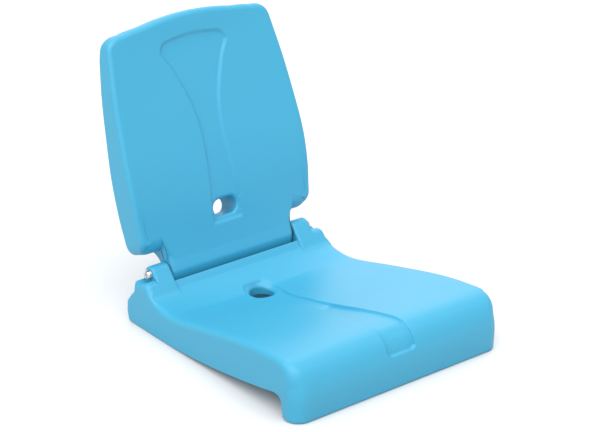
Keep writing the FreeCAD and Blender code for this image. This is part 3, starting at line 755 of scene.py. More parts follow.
    def drain_rings(self, rim: Array) -> list[Array]:
        """Rings from the top's window through the drain to the underside's window.

        Args:
            rim: window's outline as an array of (across, back).

        Returns:
            List of arrays of points, from the top down.
        """
        s = self.shape
        centre = np.array([0.0, s.drain_back])
        ways = rim - centre
        ways = ways / np.hypot(*ways.T)[:, None]
        mouth = s.drain_radius + s.flare
        rings = []
        for share in np.linspace(0.08, 1, 12):
            place = ring_between(rim, centre + ways * mouth, share)
            height = self.top_height(place[:, 1], place[:, 0])
            rings.append(np.column_stack([place, height]))
        for turn in np.radians(np.linspace(8, 90, 9)):
            place = centre + ways * (s.drain_radius + s.flare * (1 - math.sin(turn)))
            sink = s.flare * 0.75 * (1 - math.cos(turn))
            height = self.top_height(place[:, 1], place[:, 0]) - sink
            rings.append(np.column_stack([place, height]))
        wide = s.drain_radius + 7
        pinch = s.pinch_height
        for radius, height in ((s.drain_radius, pinch + 1), (s.drain_radius + 1, pinch),
                               (wide - 3, pinch), (wide, pinch - 2)):
            place = centre + ways * radius
            rings.append(np.column_stack([place, np.full(len(place), height)]))
        for share in np.linspace(0.15, 1, 7):
            radius = wide + share * 11
            height = pinch - 2 - (pinch - 2 - s.pan_rise) * share
            place = centre + ways * radius
            rings.append(np.column_stack([place, np.full(len(place), height)]))
        for share in np.linspace(0.12, 0.9, 4):
            place = ring_between(centre + ways * (wide + 11), rim, share)
            height = self.low_height(place[:, 1], place[:, 0])
            rings.append(np.column_stack([place, height]))
        return rings

    def build(self, material: bpy.types.Material) -> bpy.types.Object:
        """Makes the seat shell.

        Args:
            material: finish of the moulding.

        Returns:
            The finished object.
        """
        s = self.shape
        right = [self.column_points(column) for column in self.columns()]
        left = [points * np.array([-1, 1, 1]) for points in right[:0:-1]]
        points = np.array(left + right)
        builder = MeshBuilder("seat_shell_skin")
        grid = builder.add(points)
        closed = np.concatenate([grid, grid[:, :1]], axis=1)
        rows = self.rows()
        middle = len(left)
        across = int(round(s.window / s.spacing))
        low, high = middle - across, middle + across
        top_part = self.loops[Zone.SLOT][self.part_of_loop(Stretch.TOP), 0]
        top_first = int(np.argmin(np.abs(top_part - rows[-1])))
        start = self.part_of_loop(Stretch.LOW).start
        low_part = self.loops[Zone.SLOT][self.part_of_loop(Stretch.LOW), 0]
        low_first = start + int(np.argmin(np.abs(low_part - rows[0])))
        keep = np.ones((closed.shape[0] - 1, closed.shape[1] - 1), bool)
        keep[low:high, top_first:top_first + len(rows) - 1] = False
        keep[low:high, low_first:low_first + len(rows) - 1] = False
        builder.quads(closed, keep)
        top_rim = window_rim(grid, top_first, top_first + len(rows) - 1, low, high)
        low_rim = window_rim(grid, low_first + len(rows) - 1, low_first, low, high)
        flat = points.reshape(-1, 3)
        rim = flat[top_rim][:, :2] - np.array([0, s.front])
        rings = [top_rim]
        for ring in self.drain_rings(rim):
            ring[:, 1] += s.front
            rings.append(builder.add(ring))
        rings.append(low_rim)
        patch = np.array(rings)
        builder.quads(np.concatenate([patch, patch[:, :1]], axis=1))
        for column in (0, -1):
            builder.cap(grid[column], points[column][:, 1:])
        self.add_bosses(builder)
        return builder.build("seat", Slot.SHELL, material, "seat_shell")

    def add_bosses(self, builder: MeshBuilder) -> None:
        """Adds the four fixing bosses of the underside.

        Args:
            builder: mesh of the seat shell.
        """
        profile = np.array(self.BOSS)
        turns = np.radians(np.arange(0, 360, 7.5))
        for x in self.FIXING_ACROSS:
            for back in self.FIXING_BACK:
                centre = np.array([x, back + self.shape.front])
                ring = np.stack([np.cos(turns), np.sin(turns)], -1)
                place = centre + profile[:, None, :1] * ring[None]
                height = np.broadcast_to(profile[:, None, 1:], place.shape[:2] + (1,))
                grid = builder.add(np.concatenate([place, height], -1))
                builder.quads(np.concatenate([grid, grid[:, :1]], axis=1))


# Back rest

@dataclass(frozen=True)
class BackShape:
    """Sizes of the back rest in millimetres, upright from the hinge axis."""

    hinge_y: float = HINGE_Y
    hinge_z: float = HINGE_Z
    recline: float = RECLINE
    tongue_half: float = TONGUE_HALF
    tongue_round: float = 8.0
    bottom: float = 34.0
    top: float = 424.0
    arch: float = 1020.0
    opening_z: float = 78.0
    opening_half: float = 25.0
    opening_height: float = 14.5
    flare: float = 7.0
    pinch: float = 48.0
    window_half: float = 60.0
    paddle_depth: float = 3.4
    paddle_top: float = 384.0
    hollow_depth: float = 4.0
    hollow_half: float = 176.0


class BackShell:
    """Outer surface of the back rest: two faces joined by a strip round the outline."""

    SIDE = ((166, 34), (178.5, 38), (185.5, 48), (188.5, 66), (190.8, 90), (192.6, 125),
            (193.4, 176), (190.2, 241), (184, 314), (175, 379), (170, 396.5), (156, 407),
            (138, 409.5))
    FRONT = ((-31, -14.7), (0, -14.7), (14, -14.9), (34, -16.6), (54, -19.2), (80, -23.6),
             (111, -29.2), (145, -33.6), (179, -35.6), (220, -35.9), (300, -35.6), (431, -35.6))
    REAR = ((34, 36), (42, 35.2), (166, 24.2), (314, 10.5), (372, 4.2), (400, -3.5), (431, -12.5))
    PADDLE = ((60, 30), (100, 28.5), (135, 26), (180, 23), (235, 23.6), (280, 33), (320, 48),
              (345, 60), (362, 69.5), (372, 70))
    WINDOW_EDGES = (-34, 42)
    LOWER_CORNER = (184, 45)
    UPPER_CORNER = (168, 403)
    SIDE_POINTS = 166

    def __init__(self, shape: BackShape) -> None:
        """Works out the outline.

        Args:
            shape: sizes of the back rest.
        """
        self.shape = shape
        self.outline, self.corner_at = self.closed_outline()

    def front(self, height: float | Array) -> Array:
        """Place of the front face at a height."""
        at, place = np.array(self.FRONT).T
        path = spline_path(np.column_stack([at, place]), 800)
        return np.interp(height, path[:, 0], path[:, 1])

    def rear(self, height: float | Array) -> Array:
        """Place of the rear face at a height."""
        at, place = np.array(self.REAR).T
        return np.interp(height, at, place)

    def closed_outline(self) -> tuple[Array, Array]:
        """Outline of the panel, from its lower side round to the left.

        Returns:
            The closed loop of plane points and the places of its four corners.
        """
        s = self.shape
        side = spline_path(self.SIDE, 1200)
        lower, upper = (int(np.argmin(np.hypot(*(side - corner).T)))
                        for corner in (self.LOWER_CORNER, self.UPPER_CORNER))
        half = s.tongue_half
        inner_bottom = self.bottom_places()
        corner_low = resampled(np.concatenate([[[half + 4, s.bottom]], side[:lower + 1]]), 26)
        bottom_right = np.concatenate([[[half, s.bottom]], corner_low])
        right = resampled(side[lower:upper + 1], self.SIDE_POINTS)
        edge, height = self.SIDE[-1]
        arch_x = np.linspace(edge, 0, 60)
        arch = np.column_stack([arch_x, s.top - arch_x ** 2 / s.arch])
        arch[:, 1] += (height - arch[0, 1]) * smooth_step((arch_x - 90) / 48)
        across = len(inner_bottom) // 2 + len(bottom_right)
        top_half = resampled(np.concatenate([side[upper:], arch[1:]]), across + 1)
        middle = np.column_stack([inner_bottom, np.full(len(inner_bottom), s.bottom)])
        mirror = np.array([-1.0, 1.0])
        bottom = np.concatenate([bottom_right[::-1] * mirror, middle, bottom_right])
        top = np.concatenate([top_half, top_half[-2::-1] * mirror])
        left = right[::-1] * mirror
        loop = np.concatenate([bottom[:-1], right[:-1], top[:-1], left[:-1]])
        corners = np.cumsum([0, len(bottom) - 1, len(right) - 1, len(top) - 1])
        LOG.info("outline %d points, bottom %d top %d", len(loop), len(bottom), len(top))
        return loop, corners

    def bottom_places(self) -> Array:
        """Places across the tongue at which the panel's lower side has points.

        Returns:
            Array from the left edge to the right one, closer at both.
        """
        s = self.shape
        r = s.tongue_round
        turns = np.radians(np.linspace(0, 90, 5))
        edge = s.tongue_half - r * (1 - np.sin(turns))
        inner = np.linspace(0, s.window_half, 29)
        between = np.linspace(s.window_half, edge[0], 12)[1:-1]
        right = np.concatenate([inner, between, edge])
        return np.concatenate([-right[:0:-1], right])

    def face_places(self, loop: Array) -> Array:
        """Places of a face's grid inside a boundary loop, by blending its four sides.

        Args:
            loop: closed loop with as many points as the outline.

        Returns:
            Array over columns and rows: blends of facing sides less that of the corners.
        """
        c = list(self.corner_at) + [len(loop)]
        closed = np.concatenate([loop, loop[:1]])
        bottom = closed[c[0]:c[1] + 1]
        right = closed[c[1]:c[2] + 1]
        top = closed[c[2]:c[3] + 1][::-1]
        left = closed[c[3]:c[4] + 1][::-1]
        v = (arc_lengths(right) / arc_lengths(right)[-1])[None, :, None]
        u = (arc_lengths(bottom) / arc_lengths(bottom)[-1])
        w = (arc_lengths(top) / arc_lengths(top)[-1])
        share = u[:, None] * (1 - v[0, :, 0]) + w[:, None] * v[0, :, 0]
        share = share[:, :, None]
        across = (1 - v) * bottom[:, None] + v * top[:, None]
        along = (1 - share) * left[None] + share * right[None]
        corner = (1 - share) * (1 - v) * bottom[0] + share * (1 - v) * bottom[-1]
        corner = corner + (1 - share) * v * top[0] + share * v * top[-1]
        return across + along - corner

    def radii(self) -> tuple[Array, Array]:
        """Rounding radii along the outline, larger where its side faces down.

        Returns:
            Radii of the front and of the rear rounding.
        """
        x, z = self.outline.T
        downward = inward_normals(self.outline)[:, 1]
        front = 8 + 17 * smooth_step(downward * 1.1) + 3 * smooth_step(-downward)
        beside = np.abs(x) - self.shape.tongue_half
        front = np.where(z < 36, 2 + (front - 2) * smooth_step(beside / 7), front)
        front = np.where((beside < 0.01) & (z < 40), 0.5, front)
        rear = 9.0 + 2.5 * smooth_step((z - 120) / 140)
        return front, rear

    def paddle(self, across: Array, height: Array) -> Array:
        """Depth of the paddle-shaped recess.

        Args:
            across: places across the back rest.
            height: heights over the hinge axis.

        Returns:
            Depths, eased to nothing at the sides, the upper arch and the lower end.
        """
        at, halves = np.array(self.PADDLE).T
        path = spline_path(np.column_stack([at, halves]), 400)
        half = np.interp(height, path[:, 0], path[:, 1])
        inside = smooth_step((half - np.abs(across)) / 3.2 + 0.5)
        beside = np.clip(np.abs(across) - 58, 0, None)
        arch = self.shape.paddle_top - np.abs(across) ** 2 / 560 - beside ** 2 / 12
        upper = smooth_step((arch - height) / 3.0 + 0.5)
        lower = smooth_step((height - 50) / 8.0)
        return self.shape.paddle_depth * inside * upper * lower

    def hollow(self, across: Array, height: Array) -> Array:
        """Slight hollow of the front face between its side rims."""
        s = self.shape
        share = np.clip(1 - (np.abs(across) / s.hollow_half) ** 2, 0, None)
        rise = smooth_step((height - 60) / 120) * smooth_step((s.top - height) / 60)
        return s.hollow_depth * share * rise

    def front_surface(self, across: Array, height: Array) -> Array:
        """Front face with its hollow and its recess."""
        return self.front(height) + self.paddle(across, height) + self.hollow(across, height)

    def tongue_path(self) -> Array:
        """Side path of the tongue from the front face round its toe to the rear face.

        Returns:
            Array of (depth, height) points.
        """
        s = self.shape
        start = float(self.front_surface(np.array([0.0]), np.array([s.bottom]))[0])
        corners = [(start, s.bottom, 0), (-14.7, 14, 30), (-14.7, -7, 14), (-6.5, -23, 8),
                   (-5, -31, 3), (14.3, -31, 9), (14.3, 29, 6), (33, 34.5, 7),
                   (float(self.rear(42)), 42, 0)]
        return resampled(rounded_path(corners), 70)

    def plain_path(self, point: Array, way: Array, rear: float, low: float, high: float) -> Array:
        """Side path of the outline strip: a quarter turn, a straight wall and a quarter turn.

        Args:
            point: place on the outline.
            way: direction from there to the inside.
            rear: place of the rear face.
            low: front rounding radius.
            high: rear rounding radius.

        Returns:
            Array of (depth, inset) pairs.
        """
        first = np.radians(np.linspace(0, 90, 28))
        head = np.column_stack([low * (1 - np.cos(first)), low * (1 - np.sin(first))])
        places = point + way * head[:, 1:]
        head[:, 0] += self.front_surface(places[:, 0], places[:, 1])
        tail_turn = np.radians(np.linspace(0, 90, 20))
        tail = np.column_stack([1 - np.sin(tail_turn), 1 - np.cos(tail_turn)]) * high
        tail[:, 0] = rear - tail[:, 0]
        wall = np.linspace(head[-1], tail[0], 24)[1:-1]
        return np.concatenate([head, wall, tail])

    def strip(self) -> Array:
        """Rings of the strip between the faces.

        Returns:
            Array of points over outline and depth.
        """
        s = self.shape
        inward = inward_normals(self.outline)
        front_r, rear_r = self.radii()
        tongue = self.tongue_path()
        rings = []
        for point, way, low, high in zip(self.outline, inward, front_r, rear_r):
            on_tongue = abs(point[0]) <= s.tongue_half + 0.001 and point[1] < s.bottom + 0.01
            rear = float(self.rear((point + way * high)[1]))
            if on_tongue:
                ring = self.tongue_ring(point, tongue)
            else:
                path = self.plain_path(point, way, rear, low, high)
                place = point + way * path[:, 1:]
                ring = np.column_stack([place[:, 0], path[:, 0], place[:, 1]])
            rings.append(ring)
        return np.array(rings)

    def tongue_ring(self, point: Array, path: Array) -> Array:
        """One ring of the tongue, inset where its end is rounded.

        Args:
            point: place on the outline.
            path: the tongue's side path.

        Returns:
            Array of points in space.
        """
        s = self.shape
        gap = s.tongue_half - abs(point[0])
        if gap >= s.tongue_round:
            return np.column_stack([np.full(len(path), point[0]), path])
        turn = math.asin(1 - gap / s.tongue_round)
        loop = np.concatenate([path, [[0, s.bottom]]])
        inset = s.tongue_round * (1 - math.cos(turn))
        weight = smooth_step((30 - path[:, 1]) / 12)
        moved = path + inward_normals(loop)[:-1] * (inset * weight)[:, None]
        return np.column_stack([np.full(len(path), point[0]), moved])

    def lean(self, points: Array) -> Array:
        """Leans upright points back about the hinge axis into the seat's frame.

        Args:
            points: array whose last axis holds x, y and z.

        Returns:
            Array of the same shape, turned by the recline and moved to the hinge.
        """
        s = self.shape
        x, y, z = np.moveaxis(points, -1, 0)
        along, over = math.cos(s.recline), math.sin(s.recline)
        return np.stack([x, s.hinge_y + y * along + z * over, s.hinge_z - y * over + z * along], -1)

    def oval(self, turn: Array, half: float, height: float, shift: float = 0.0) -> Array:
        """Outline with round ends about the opening's centre, read at given angles.

        Args:
            turn: angles at which points are wanted.
            half: half the width.
            height: half the height, the radius of the ends.
            shift: how far the outline lies above the centre.

        Returns:
            Array of plane points.
        """
        run = half - height
        ways = np.column_stack([np.cos(turn), np.sin(turn)])
        steep = np.maximum(np.abs(ways[:, 1]), 1e-6)
        reach = np.clip(ways[:, 0] / steep * height, -run, run)
        start = np.column_stack([reach, np.zeros(len(reach))])
        away = ways * (half + height) - start
        away /= np.hypot(*away.T)[:, None]
        across = np.abs(ways[:, 0]) * height <= run * np.abs(ways[:, 1])
        flat = np.column_stack([reach, np.sign(ways[:, 1]) * height])
        close = np.where(across[:, None], flat, start + away * height)
        return close + np.array([0.0, self.shape.opening_z + shift])

    def opening_rings(self, front_rim: Array, rear_rim: Array) -> list[Array]:
        """Rings from the front window through the opening to the rear window.

        Args:
            front_rim: outline of the front face's window.
            rear_rim: outline of the rear face's window.

        Returns:
            List of arrays of points, from the front to the rear.
        """
        s = self.shape
        centre = np.array([0.0, s.opening_z])
        turn = np.arctan2(*(front_rim - centre).T[::-1])
        rings = []
        mouth = self.oval(turn, s.opening_half + s.flare, s.opening_height + s.flare)
        for share in np.linspace(0.08, 1, 9):
            place = ring_between(front_rim, mouth, share)
            rings.append((place, self.front_surface(place[:, 0], place[:, 1])))
        for angle in np.radians(np.linspace(8, 90, 9)):
            grow = s.flare * (1 - math.sin(angle))
            place = self.oval(turn, s.opening_half + grow, s.opening_height + grow)
            sink = s.flare * 0.75 * (1 - math.cos(angle))
            rings.append((place, self.front_surface(place[:, 0], place[:, 1]) + sink))
        near = self.front(s.opening_z) + s.pinch + 3
        for grow, extra in ((0, 0), (1, 0.6), (5, 0.8), (7, 2)):
            place = self.oval(turn, s.opening_half + grow, s.opening_height + grow)
            rings.append((place, np.full(len(place), near + extra)))
        deep = float(self.rear(s.opening_z))
        for share in np.linspace(0.15, 1, 7):
            half = s.opening_half + 7 + 18 * share
            place = self.oval(turn, half, s.opening_height + 7 + 12 * share, 4 * share)
            depth = near + 2 + (deep - near - 3) * share
            rings.append((place, np.full(len(place), depth)))
        last = rings[-1][0]
        for share in np.linspace(0.12, 0.9, 4):
            place = ring_between(last, rear_rim, share)
            rings.append((place, self.rear(place[:, 1])))
        return [np.column_stack([place[:, 0], depth, place[:, 1]]) for place, depth in rings]

    def build(self, material: bpy.types.Material) -> bpy.types.Object:
        """Makes the back rest.

        Args:
            material: finish of the moulding.

        Returns:
            The finished object.
        """
        strip = self.strip()
        builder = MeshBuilder("back_shell_skin")
        ring_grid = builder.add(self.lean(strip))
        builder.quads(np.concatenate([ring_grid, ring_grid[:1]], axis=0))
        front = self.face_places(strip[:, 0][:, [0, 2]])
        rear = self.face_places(strip[:, -1][:, [0, 2]])
        window = self.window(front)
        depth = self.front_surface(front[..., 0], front[..., 1])
        front_rim = self.add_face(builder, front, depth, window)
        rear_rim = self.add_face(builder, rear, self.rear(rear[..., 1]), window)
        rings = [front_rim[0]]
        for ring in self.opening_rings(front_rim[1], rear_rim[1]):
            rings.append(builder.add(self.lean(ring)))
        rings.append(rear_rim[0])
        patch = np.array(rings)
        builder.quads(np.concatenate([patch, patch[:, :1]], axis=1))
        return builder.build("back", Slot.SHELL, material, "back_shell")

    def add_face(self, builder: MeshBuilder, places: Array, depth: Array,
                 window: Window) -> tuple[Array, Array]:
        """Adds one face with its window left open.

        Args:
            builder: mesh of the back rest.
            places: plane places of the face's grid.
            depth: how far back each of them lies.
            window: ranges of columns and rows that stay open.

        Returns:
            Vertex numbers and plane places round the window.
        """
        grid = builder.add(self.lean(np.stack([places[..., 0], depth, places[..., 1]], -1)))
        (left, right), (low, high) = window
        keep = np.ones((grid.shape[0] - 1, grid.shape[1] - 1), bool)
        keep[left:right, low:high] = False
        builder.quads(grid, keep)
        return tuple(window_rim(entries, low, high, left, right) for entries in (grid, places))

    def window(self, places: Array) -> Window:
        """Grid ranges of the window round the opening.

        Args:
            places: plane places of the front face's grid.

        Returns:
            Range of columns and range of rows, each as its two ends.
        """
        s = self.shape
        heights = places[places.shape[0] // 2, :, 1] - s.opening_z
        across = places[:, 0, 0]
        half = s.window_half
        columns = tuple(int(np.argmin(np.abs(across - edge))) for edge in (-half, half))
        rows = tuple(int(np.argmin(np.abs(heights - edge))) for edge in self.WINDOW_EDGES)
        return columns, rows


# Hinge hardware

@dataclass(frozen=True)
class HingeShape:
    """Sizes of the hinge hardware in millimetres, places measured from the middle."""

    axis_y: float = HINGE_Y
    axis_z: float = HINGE_Z
    thread_start: float = 114.5
    thread_radius: float = 4.95
    tongue_end: float = TONGUE_HALF
    shoulder_radius: float = 6.0
    bush_start: float = 134.6
    ear_inner: float = EAR_INNER
    bush_end: float = 172.9
    bush_bore: float = 6.1
    bush_radius: float = 8.0
    flange_radius: float = 12.5
    washer_start: float = 173.35
    washer_end: float = 174.8
    washer_bore: float = 6.1
    washer_radius: float = 10.0
    head_start: float = 174.9
    head_radius: float = 8.75
    head_height: float = 5.45
    socket_half: float = 3.0


class HingeHardware:
    """Bolts, washers and bushes as turned profiles about the hinge axis."""

    def __init__(self, shape: HingeShape) -> None:
        """Keeps the sizes."""
        self.shape = shape
        self.axis = np.array([0.0, shape.axis_y, shape.axis_z])

    def turned(self, name: str, profile: list[tuple], side: int,
               segments: int = 96) -> tuple[MeshBuilder, Array]:
        """Turns a profile about the hinge axis.

        Args:
            name: name of the piece.
            profile: pairs of place across and radius.
            side: 1 on the right and -1 on the left.
            segments: points round the axis.

        Returns:
            The mesh builder and the grid of its vertex numbers.
        """
        builder = MeshBuilder(name)
        turns = np.arange(segments) / segments * 2 * math.pi
        outline = np.asarray(profile, float)
        ring = np.stack([np.cos(turns), np.sin(turns)], -1)
        plane = outline[:, None, 1:] * ring[None]
        across = np.broadcast_to(outline[:, None, :1] * side, plane.shape[:2] + (1,))
        grid = builder.add(np.concatenate([across, plane], -1) + self.axis)
        builder.quads(np.concatenate([grid, grid[:, :1]], axis=1))
        return builder, grid

    def bolt(self, side: int, word: str, material: bpy.types.Material) -> bpy.types.Object:
        """Button-head shoulder bolt with a hexagon socket.

        Args:
            side: 1 on the right and -1 on the left.
            word: left or right.
            material: finish of the bolt.

        Returns:
            The finished object.
        """
        h = self.shape
        head = h.head_start
        start, thread, shoulder = h.thread_start, h.thread_radius, h.shoulder_radius
        profile = [(start, 0.01), (start, thread - 0.75), (start + 1, thread),
                   (h.tongue_end, thread), (h.tongue_end, shoulder), (head - 0.1, shoulder),
                   (head, shoulder + 0.3),
                   (head, h.head_radius - 0.65), (head + 0.35, h.head_radius - 0.15),
                   (head + 0.9, h.head_radius)]
        for angle in np.radians(np.linspace(8, 78, 9)):
            dome = (head + 0.9 + 4.4 * math.sin(angle), h.head_radius - 4.6 * (1 - math.cos(angle)))
            profile.append(dome)
        profile.append((head + h.head_height, 4.6))
        builder, grid = self.turned("hinge_bolt_" + word + "_body", profile, side)
        rings = [grid[-1]] + self.socket_rings(builder, side, grid.shape[1])
        patch = np.array(rings)
        builder.quads(np.concatenate([patch, patch[:, :1]], axis=1))
        return builder.build("back", Slot.BOLT, material, "hinge_bolt_" + word)

    def socket_rings(self, builder: MeshBuilder, side: int, count: int) -> list[Array]:
        """Adds the rings of the hexagon socket: a circle over the cosine of a sixth of a turn.

        Args:
            builder: mesh of the bolt.
            side: 1 on the right and -1 on the left.
            count: points of each ring.

        Returns:
            Vertex numbers of the rings, from the head's face inwards.
        """
        h = self.shape
        turns = np.arange(count) / count * 2 * math.pi
        sixth = math.pi / 3
        reach = 1 / np.cos((turns + sixth / 2) % sixth - sixth / 2)
        circle = np.ones_like(reach)
        half = h.socket_half
        rows = [(h.head_height, 4.0 * circle), (5.1, (half + 0.05) * (circle + reach) / 2),
                (4.7, half * reach), (2.3, half * reach), (2.2, 0.9 * half * reach),
                (1.4, 0.01 * circle)]
        rings = []
        for depth, radius in rows:
            plane = np.column_stack([np.cos(turns) * radius, np.sin(turns) * radius])
            across = np.full((count, 1), (h.head_start + depth) * side)
            rings.append(builder.add(np.concatenate([across, plane], -1) + self.axis))
        return rings

    def washer(self, side: int, word: str, material: bpy.types.Material) -> bpy.types.Object:
        """Plain washer with broken edges.

        Args:
            side: 1 on the right and -1 on the left.
            word: left or right.
            material: finish of the washer.

        Returns:
            The finished object.
        """
        h = self.shape
        a, b, bore, rim = h.washer_start, h.washer_end, h.washer_bore, h.washer_radius
        profile = [(a, bore), (a, rim - 0.3), (a + 0.25, rim), (b - 0.3, rim), (b, rim - 0.4),
                   (b, bore + 0.1), (a, bore)]
        builder, grid = self.turned("hinge_washer_" + word + "_disc", profile, side)
        return builder.build("back", Slot.BOLT, material, "hinge_washer_" + word)

    def bush(self, side: int, word: str, material: bpy.types.Material) -> bpy.types.Object:
        """Flanged bush pressed into the ear.

        Args:
            side: 1 on the right and -1 on the left.
            word: left or right.
            material: finish of the bush.

        Returns:
            The finished object.
        """
        h = self.shape
        a, b, end, bore = h.bush_start, h.ear_inner, h.bush_end, h.bush_bore
        profile = [(a, bore + 0.2), (a, h.flange_radius - 0.6), (a + 0.5, h.flange_radius),
                   (b, h.flange_radius), (b, h.bush_radius), (end - 0.3, h.bush_radius),
                   (end, h.bush_radius - 0.3), (end, bore + 0.1), (a + 0.2, bore), (a, bore + 0.2)]
        builder, grid = self.turned("hinge_bush_" + word + "_sleeve", profile, side)
        return builder.build("seat", Slot.BUSH, material, "hinge_bush_" + word)

    def build(self, finishes: dict[Slot, bpy.types.Material]) -> None:
        """Makes the hardware of both sides.

        Args:
            finishes: material of each slot.
        """
        for side, word in ((-1, "left"), (1, "right")):
            self.bolt(side, word, finishes[Slot.BOLT])
            self.washer(side, word, finishes[Slot.BOLT])
            self.bush(side, word, finishes[Slot.BUSH])


# Finishes

@dataclass(frozen=True)
class Finish:
    """Look of one material, colours in linear light and sizes in metres."""

    name: str
    colour: tuple
    roughness: float
    metallic: float = 0.0
    specular: float = 0.5
    grain: float = 0.0008
    grain_height: float = 0.02
    tone_change: float = 0.04


class MaterialMaker:
    """Builds procedural materials from finishes."""

    CLOUD_SCALE = 14.0
    GRAIN_DEPTH = 0.0004
    ROUGHNESS_CHANGE = 0.08

    def __init__(self, finish: Finish) -> None:
        """Starts the material of one finish.

        Args:
            finish: how it looks.
        """
        self.finish = finish
        self.material = bpy.data.materials.new(finish.name)
        self.material.use_nodes = True
        self.nodes = self.material.node_tree.nodes
        self.links = self.material.node_tree.links

    def noise(self, scale: float, detail: float,
              place: bpy.types.NodeSocket) -> bpy.types.NodeSocket:
        """Noise on the piece's own coordinates.

        Args:
            scale: spots in a metre.
            detail: octaves of finer spots.
            place: socket with the coordinates.

        Returns:
            Socket with values from 0 to 1.
        """
        node = self.nodes.new("ShaderNodeTexNoise")
        node.inputs["Scale"].default_value = scale
        node.inputs["Detail"].default_value = detail
        self.links.new(place, node.inputs["Vector"])
        return node.outputs["Fac"]

    def ranged(self, value: bpy.types.NodeSocket, low: float, high: float) -> bpy.types.NodeSocket:
        """Maps a value from 0 to 1 onto a range.

        Args:
            value: socket with the value.
            low: what 0 becomes.
            high: what 1 becomes.

        Returns:
            Socket with the mapped value.
        """
        node = self.nodes.new("ShaderNodeMapRange")
        node.inputs["To Min"].default_value = low
        node.inputs["To Max"].default_value = high
        self.links.new(value, node.inputs["Value"])
        return node.outputs["Result"]

    def build(self) -> bpy.types.Material:
        """Finishes the material: tone, roughness and fine grain.

        Returns:
            The finished material.
        """
        finish = self.finish
        shader = self.nodes["Principled BSDF"]
        place = self.nodes.new("ShaderNodeTexCoord").outputs["Object"]
        cloud = self.noise(self.CLOUD_SCALE, 3.0, place)
        tone = self.ranged(cloud, 1 - finish.tone_change, 1 + finish.tone_change)
        colour = self.nodes.new("ShaderNodeVectorMath")
        colour.operation = "SCALE"
        colour.inputs[0].default_value = finish.colour
        self.links.new(tone, colour.inputs["Scale"])
        self.links.new(colour.outputs["Vector"], shader.inputs["Base Color"])
        change = finish.roughness * self.ROUGHNESS_CHANGE
        rough = self.ranged(cloud, finish.roughness - change, finish.roughness + change)
        self.links.new(rough, shader.inputs["Roughness"])
        shader.inputs["Metallic"].default_value = finish.metallic
        shader.inputs["Specular IOR Level"].default_value = finish.specular
        grain = self.noise(1 / finish.grain, 2.0, place)
        bump = self.nodes.new("ShaderNodeBump")
        bump.inputs["Strength"].default_value = finish.grain_height
        bump.inputs["Distance"].default_value = self.GRAIN_DEPTH
        self.links.new(grain, bump.inputs["Height"])
        self.links.new(bump.outputs["Normal"], shader.inputs["Normal"])
        return self.material


FINISHES = {
    Slot.SHELL: Finish("shell_blue", (0.044, 0.350, 0.545), 0.42, grain=0.0011,
                       grain_height=0.10, tone_change=0.015),
    Slot.TUBE: Finish("zinc_plate", (0.56, 0.57, 0.58), 0.35, metallic=1.0),
    Slot.BOLT: Finish("polished_steel", (0.66, 0.66, 0.67), 0.16, metallic=1.0, grain_height=0.01),
    Slot.BUSH: Finish("grey_nylon", (0.05, 0.11, 0.17), 0.5),
    Slot.INSERT: Finish("brass", (0.60, 0.42, 0.16), 0.3, metallic=1.0),
}


# Studio

@dataclass(frozen=True)
class Lamp:
    """One broad distant light, aimed along a direction."""

    name: str
    source: tuple
    angle: float
    strength: float


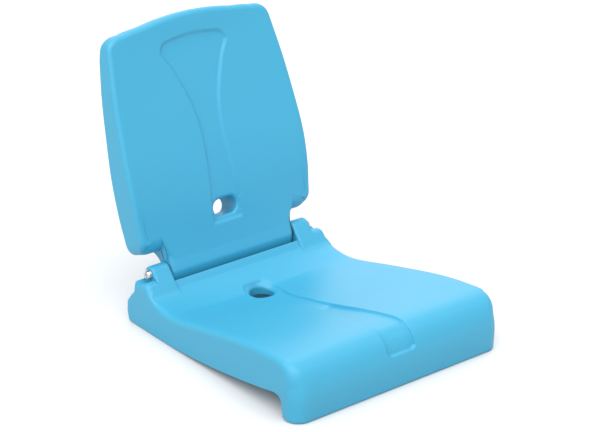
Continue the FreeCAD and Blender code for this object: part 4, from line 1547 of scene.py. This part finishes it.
class Studio:
    """Floor, lights, world and camera."""

    LENS = 129.4
    CAMERA_TURN = (-39.828, 22.550)
    CAMERA_PLACE = (-2.12698, -2.58386, 1.59577)
    SURROUNDINGS = 0.72
    FLOOR_SEEN = (0.68, 0.68, 0.68, 1.0)
    FLOOR_BOUNCE = (0.60, 0.60, 0.60, 1.0)
    FLOOR_LIFT = 0.04
    LAMPS = (
        Lamp("light_top", (-0.20, -0.35, 1.0), 70.0, 2.2),
        Lamp("light_left", (-1.0, -0.25, 0.75), 60.0, 0.9),
        Lamp("light_rear", (0.64, 0.77, 0.75), 60.0, 0.9),
    )

    def __init__(self) -> None:
        """Reads the scene that is being built."""
        self.scene = bpy.context.scene

    def build(self) -> None:
        """Sets up everything that isn't part of the object."""
        self.set_world()
        self.add_camera()
        self.add_floor()
        [self.add_lamp(lamp) for lamp in self.LAMPS]
        self.scene.view_settings.view_transform = "Standard"

    def set_world(self) -> None:
        """Even pale surroundings."""
        world = bpy.data.worlds.new("surroundings")
        self.scene.world = world
        world.use_nodes = True
        back = world.node_tree.nodes["Background"]
        back.inputs["Color"].default_value = (1.0, 1.0, 1.0, 1.0)
        back.inputs["Strength"].default_value = self.SURROUNDINGS

    def add_lamp(self, lamp: Lamp) -> bpy.types.Object:
        """Adds one broad distant light.

        Args:
            lamp: what is wanted.

        Returns:
            The light's object.
        """
        data = bpy.data.lights.new(lamp.name, "SUN")
        data.energy = lamp.strength
        data.angle = math.radians(lamp.angle)
        item = bpy.data.objects.new(lamp.name, data)
        self.scene.collection.objects.link(item)
        turn = (-Vector(lamp.source)).to_track_quat("-Z", "Y").to_matrix().to_4x4()
        item.matrix_world = Matrix.Translation(Vector(lamp.source) * 2) @ turn
        return item

    def add_floor(self) -> bpy.types.Object:
        """Adds the white floor that keeps the seat's soft shadow.

        Returns:
            The floor's object.
        """
        mesh = bpy.data.meshes.new("floor")
        far, level = 14.0, -0.0004
        corners = [(-far, -far, level), (far, -far, level), (far, far, level), (-far, far, level)]
        mesh.from_pydata(corners, [], [(0, 1, 2, 3)])
        item = bpy.data.objects.new("floor", mesh)
        self.scene.collection.objects.link(item)
        item.data.materials.append(self.floor_material())
        return item

    def floor_material(self) -> bpy.types.Material:
        """Diffuse floor, lighter and lifted towards white where the camera sees it.

        Returns:
            The finished material.
        """
        material = bpy.data.materials.new("floor_white")
        material.use_nodes = True
        nodes = material.node_tree.nodes
        links = material.node_tree.links
        nodes.clear()
        diffuse = nodes.new("ShaderNodeBsdfDiffuse")
        diffuse.inputs["Color"].default_value = self.FLOOR_SEEN
        bounce = nodes.new("ShaderNodeBsdfDiffuse")
        bounce.inputs["Color"].default_value = self.FLOOR_BOUNCE
        lift = nodes.new("ShaderNodeEmission")
        lift.inputs["Strength"].default_value = self.FLOOR_LIFT
        total = nodes.new("ShaderNodeAddShader")
        paths = nodes.new("ShaderNodeLightPath")
        mixer = nodes.new("ShaderNodeMixShader")
        output = nodes.new("ShaderNodeOutputMaterial")
        links.new(diffuse.outputs["BSDF"], total.inputs[0])
        links.new(lift.outputs["Emission"], total.inputs[1])
        links.new(paths.outputs["Is Camera Ray"], mixer.inputs["Fac"])
        links.new(bounce.outputs["BSDF"], mixer.inputs[1])
        links.new(total.outputs["Shader"], mixer.inputs[2])
        links.new(mixer.outputs["Shader"], output.inputs["Surface"])
        return material

    def add_camera(self) -> None:
        """Camera at the photo's viewpoint, turned about Z and then tilted down."""
        data = bpy.data.cameras.new("camera")
        data.lens = self.LENS
        data.sensor_width = 36.0
        data.clip_end = 60.0
        item = bpy.data.objects.new("camera", data)
        self.scene.collection.objects.link(item)
        turn, tilt = (math.radians(angle) for angle in self.CAMERA_TURN)
        right = Vector((math.cos(turn), math.sin(turn), 0))
        level = Vector((math.sin(turn), -math.cos(turn), 0))
        back = level * math.cos(tilt) + Vector((0, 0, math.sin(tilt)))
        up = back.cross(right)
        place = Matrix((right, up, back)).transposed().to_4x4()
        item.matrix_world = Matrix.Translation(self.CAMERA_PLACE) @ place
        self.scene.camera = item


class StadiumSeat:
    """The whole object, built over the CAD frame."""

    def __init__(self, frame: dict) -> None:
        """Makes the finishes.
        """
        self.nodes = frame["nodes"]
        self.finishes = {slot: MaterialMaker(finish).build() for slot, finish in FINISHES.items()}

    def keep_node(self, name: str, slot: Slot) -> None:
        """Keeps a CAD node as it is, with its finish.

        Args:
            name: the node's name.
            slot: material slot whose finish it gets.
        """
        item = self.nodes[name]
        item.data.materials.clear()
        item.data.materials.append(self.finishes[slot])

    def build(self) -> None:
        """Builds the shells and the hardware."""
        shell = self.finishes[Slot.SHELL]
        SeatShell(SeatShape()).build(shell)
        BackShell(BackShape()).build(shell)
        HingeHardware(HingeShape()).build(self.finishes)
        self.keep_node("hinge_tube", Slot.TUBE)
        self.keep_node("fixing_inserts", Slot.INSERT)


def main() -> None:
    """Builds the scene over the frame."""
    logging.basicConfig(level=logging.INFO)
    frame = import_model()
    StadiumSeat(frame).build()
    Studio().build()


if __name__ == "__main__":
    main()
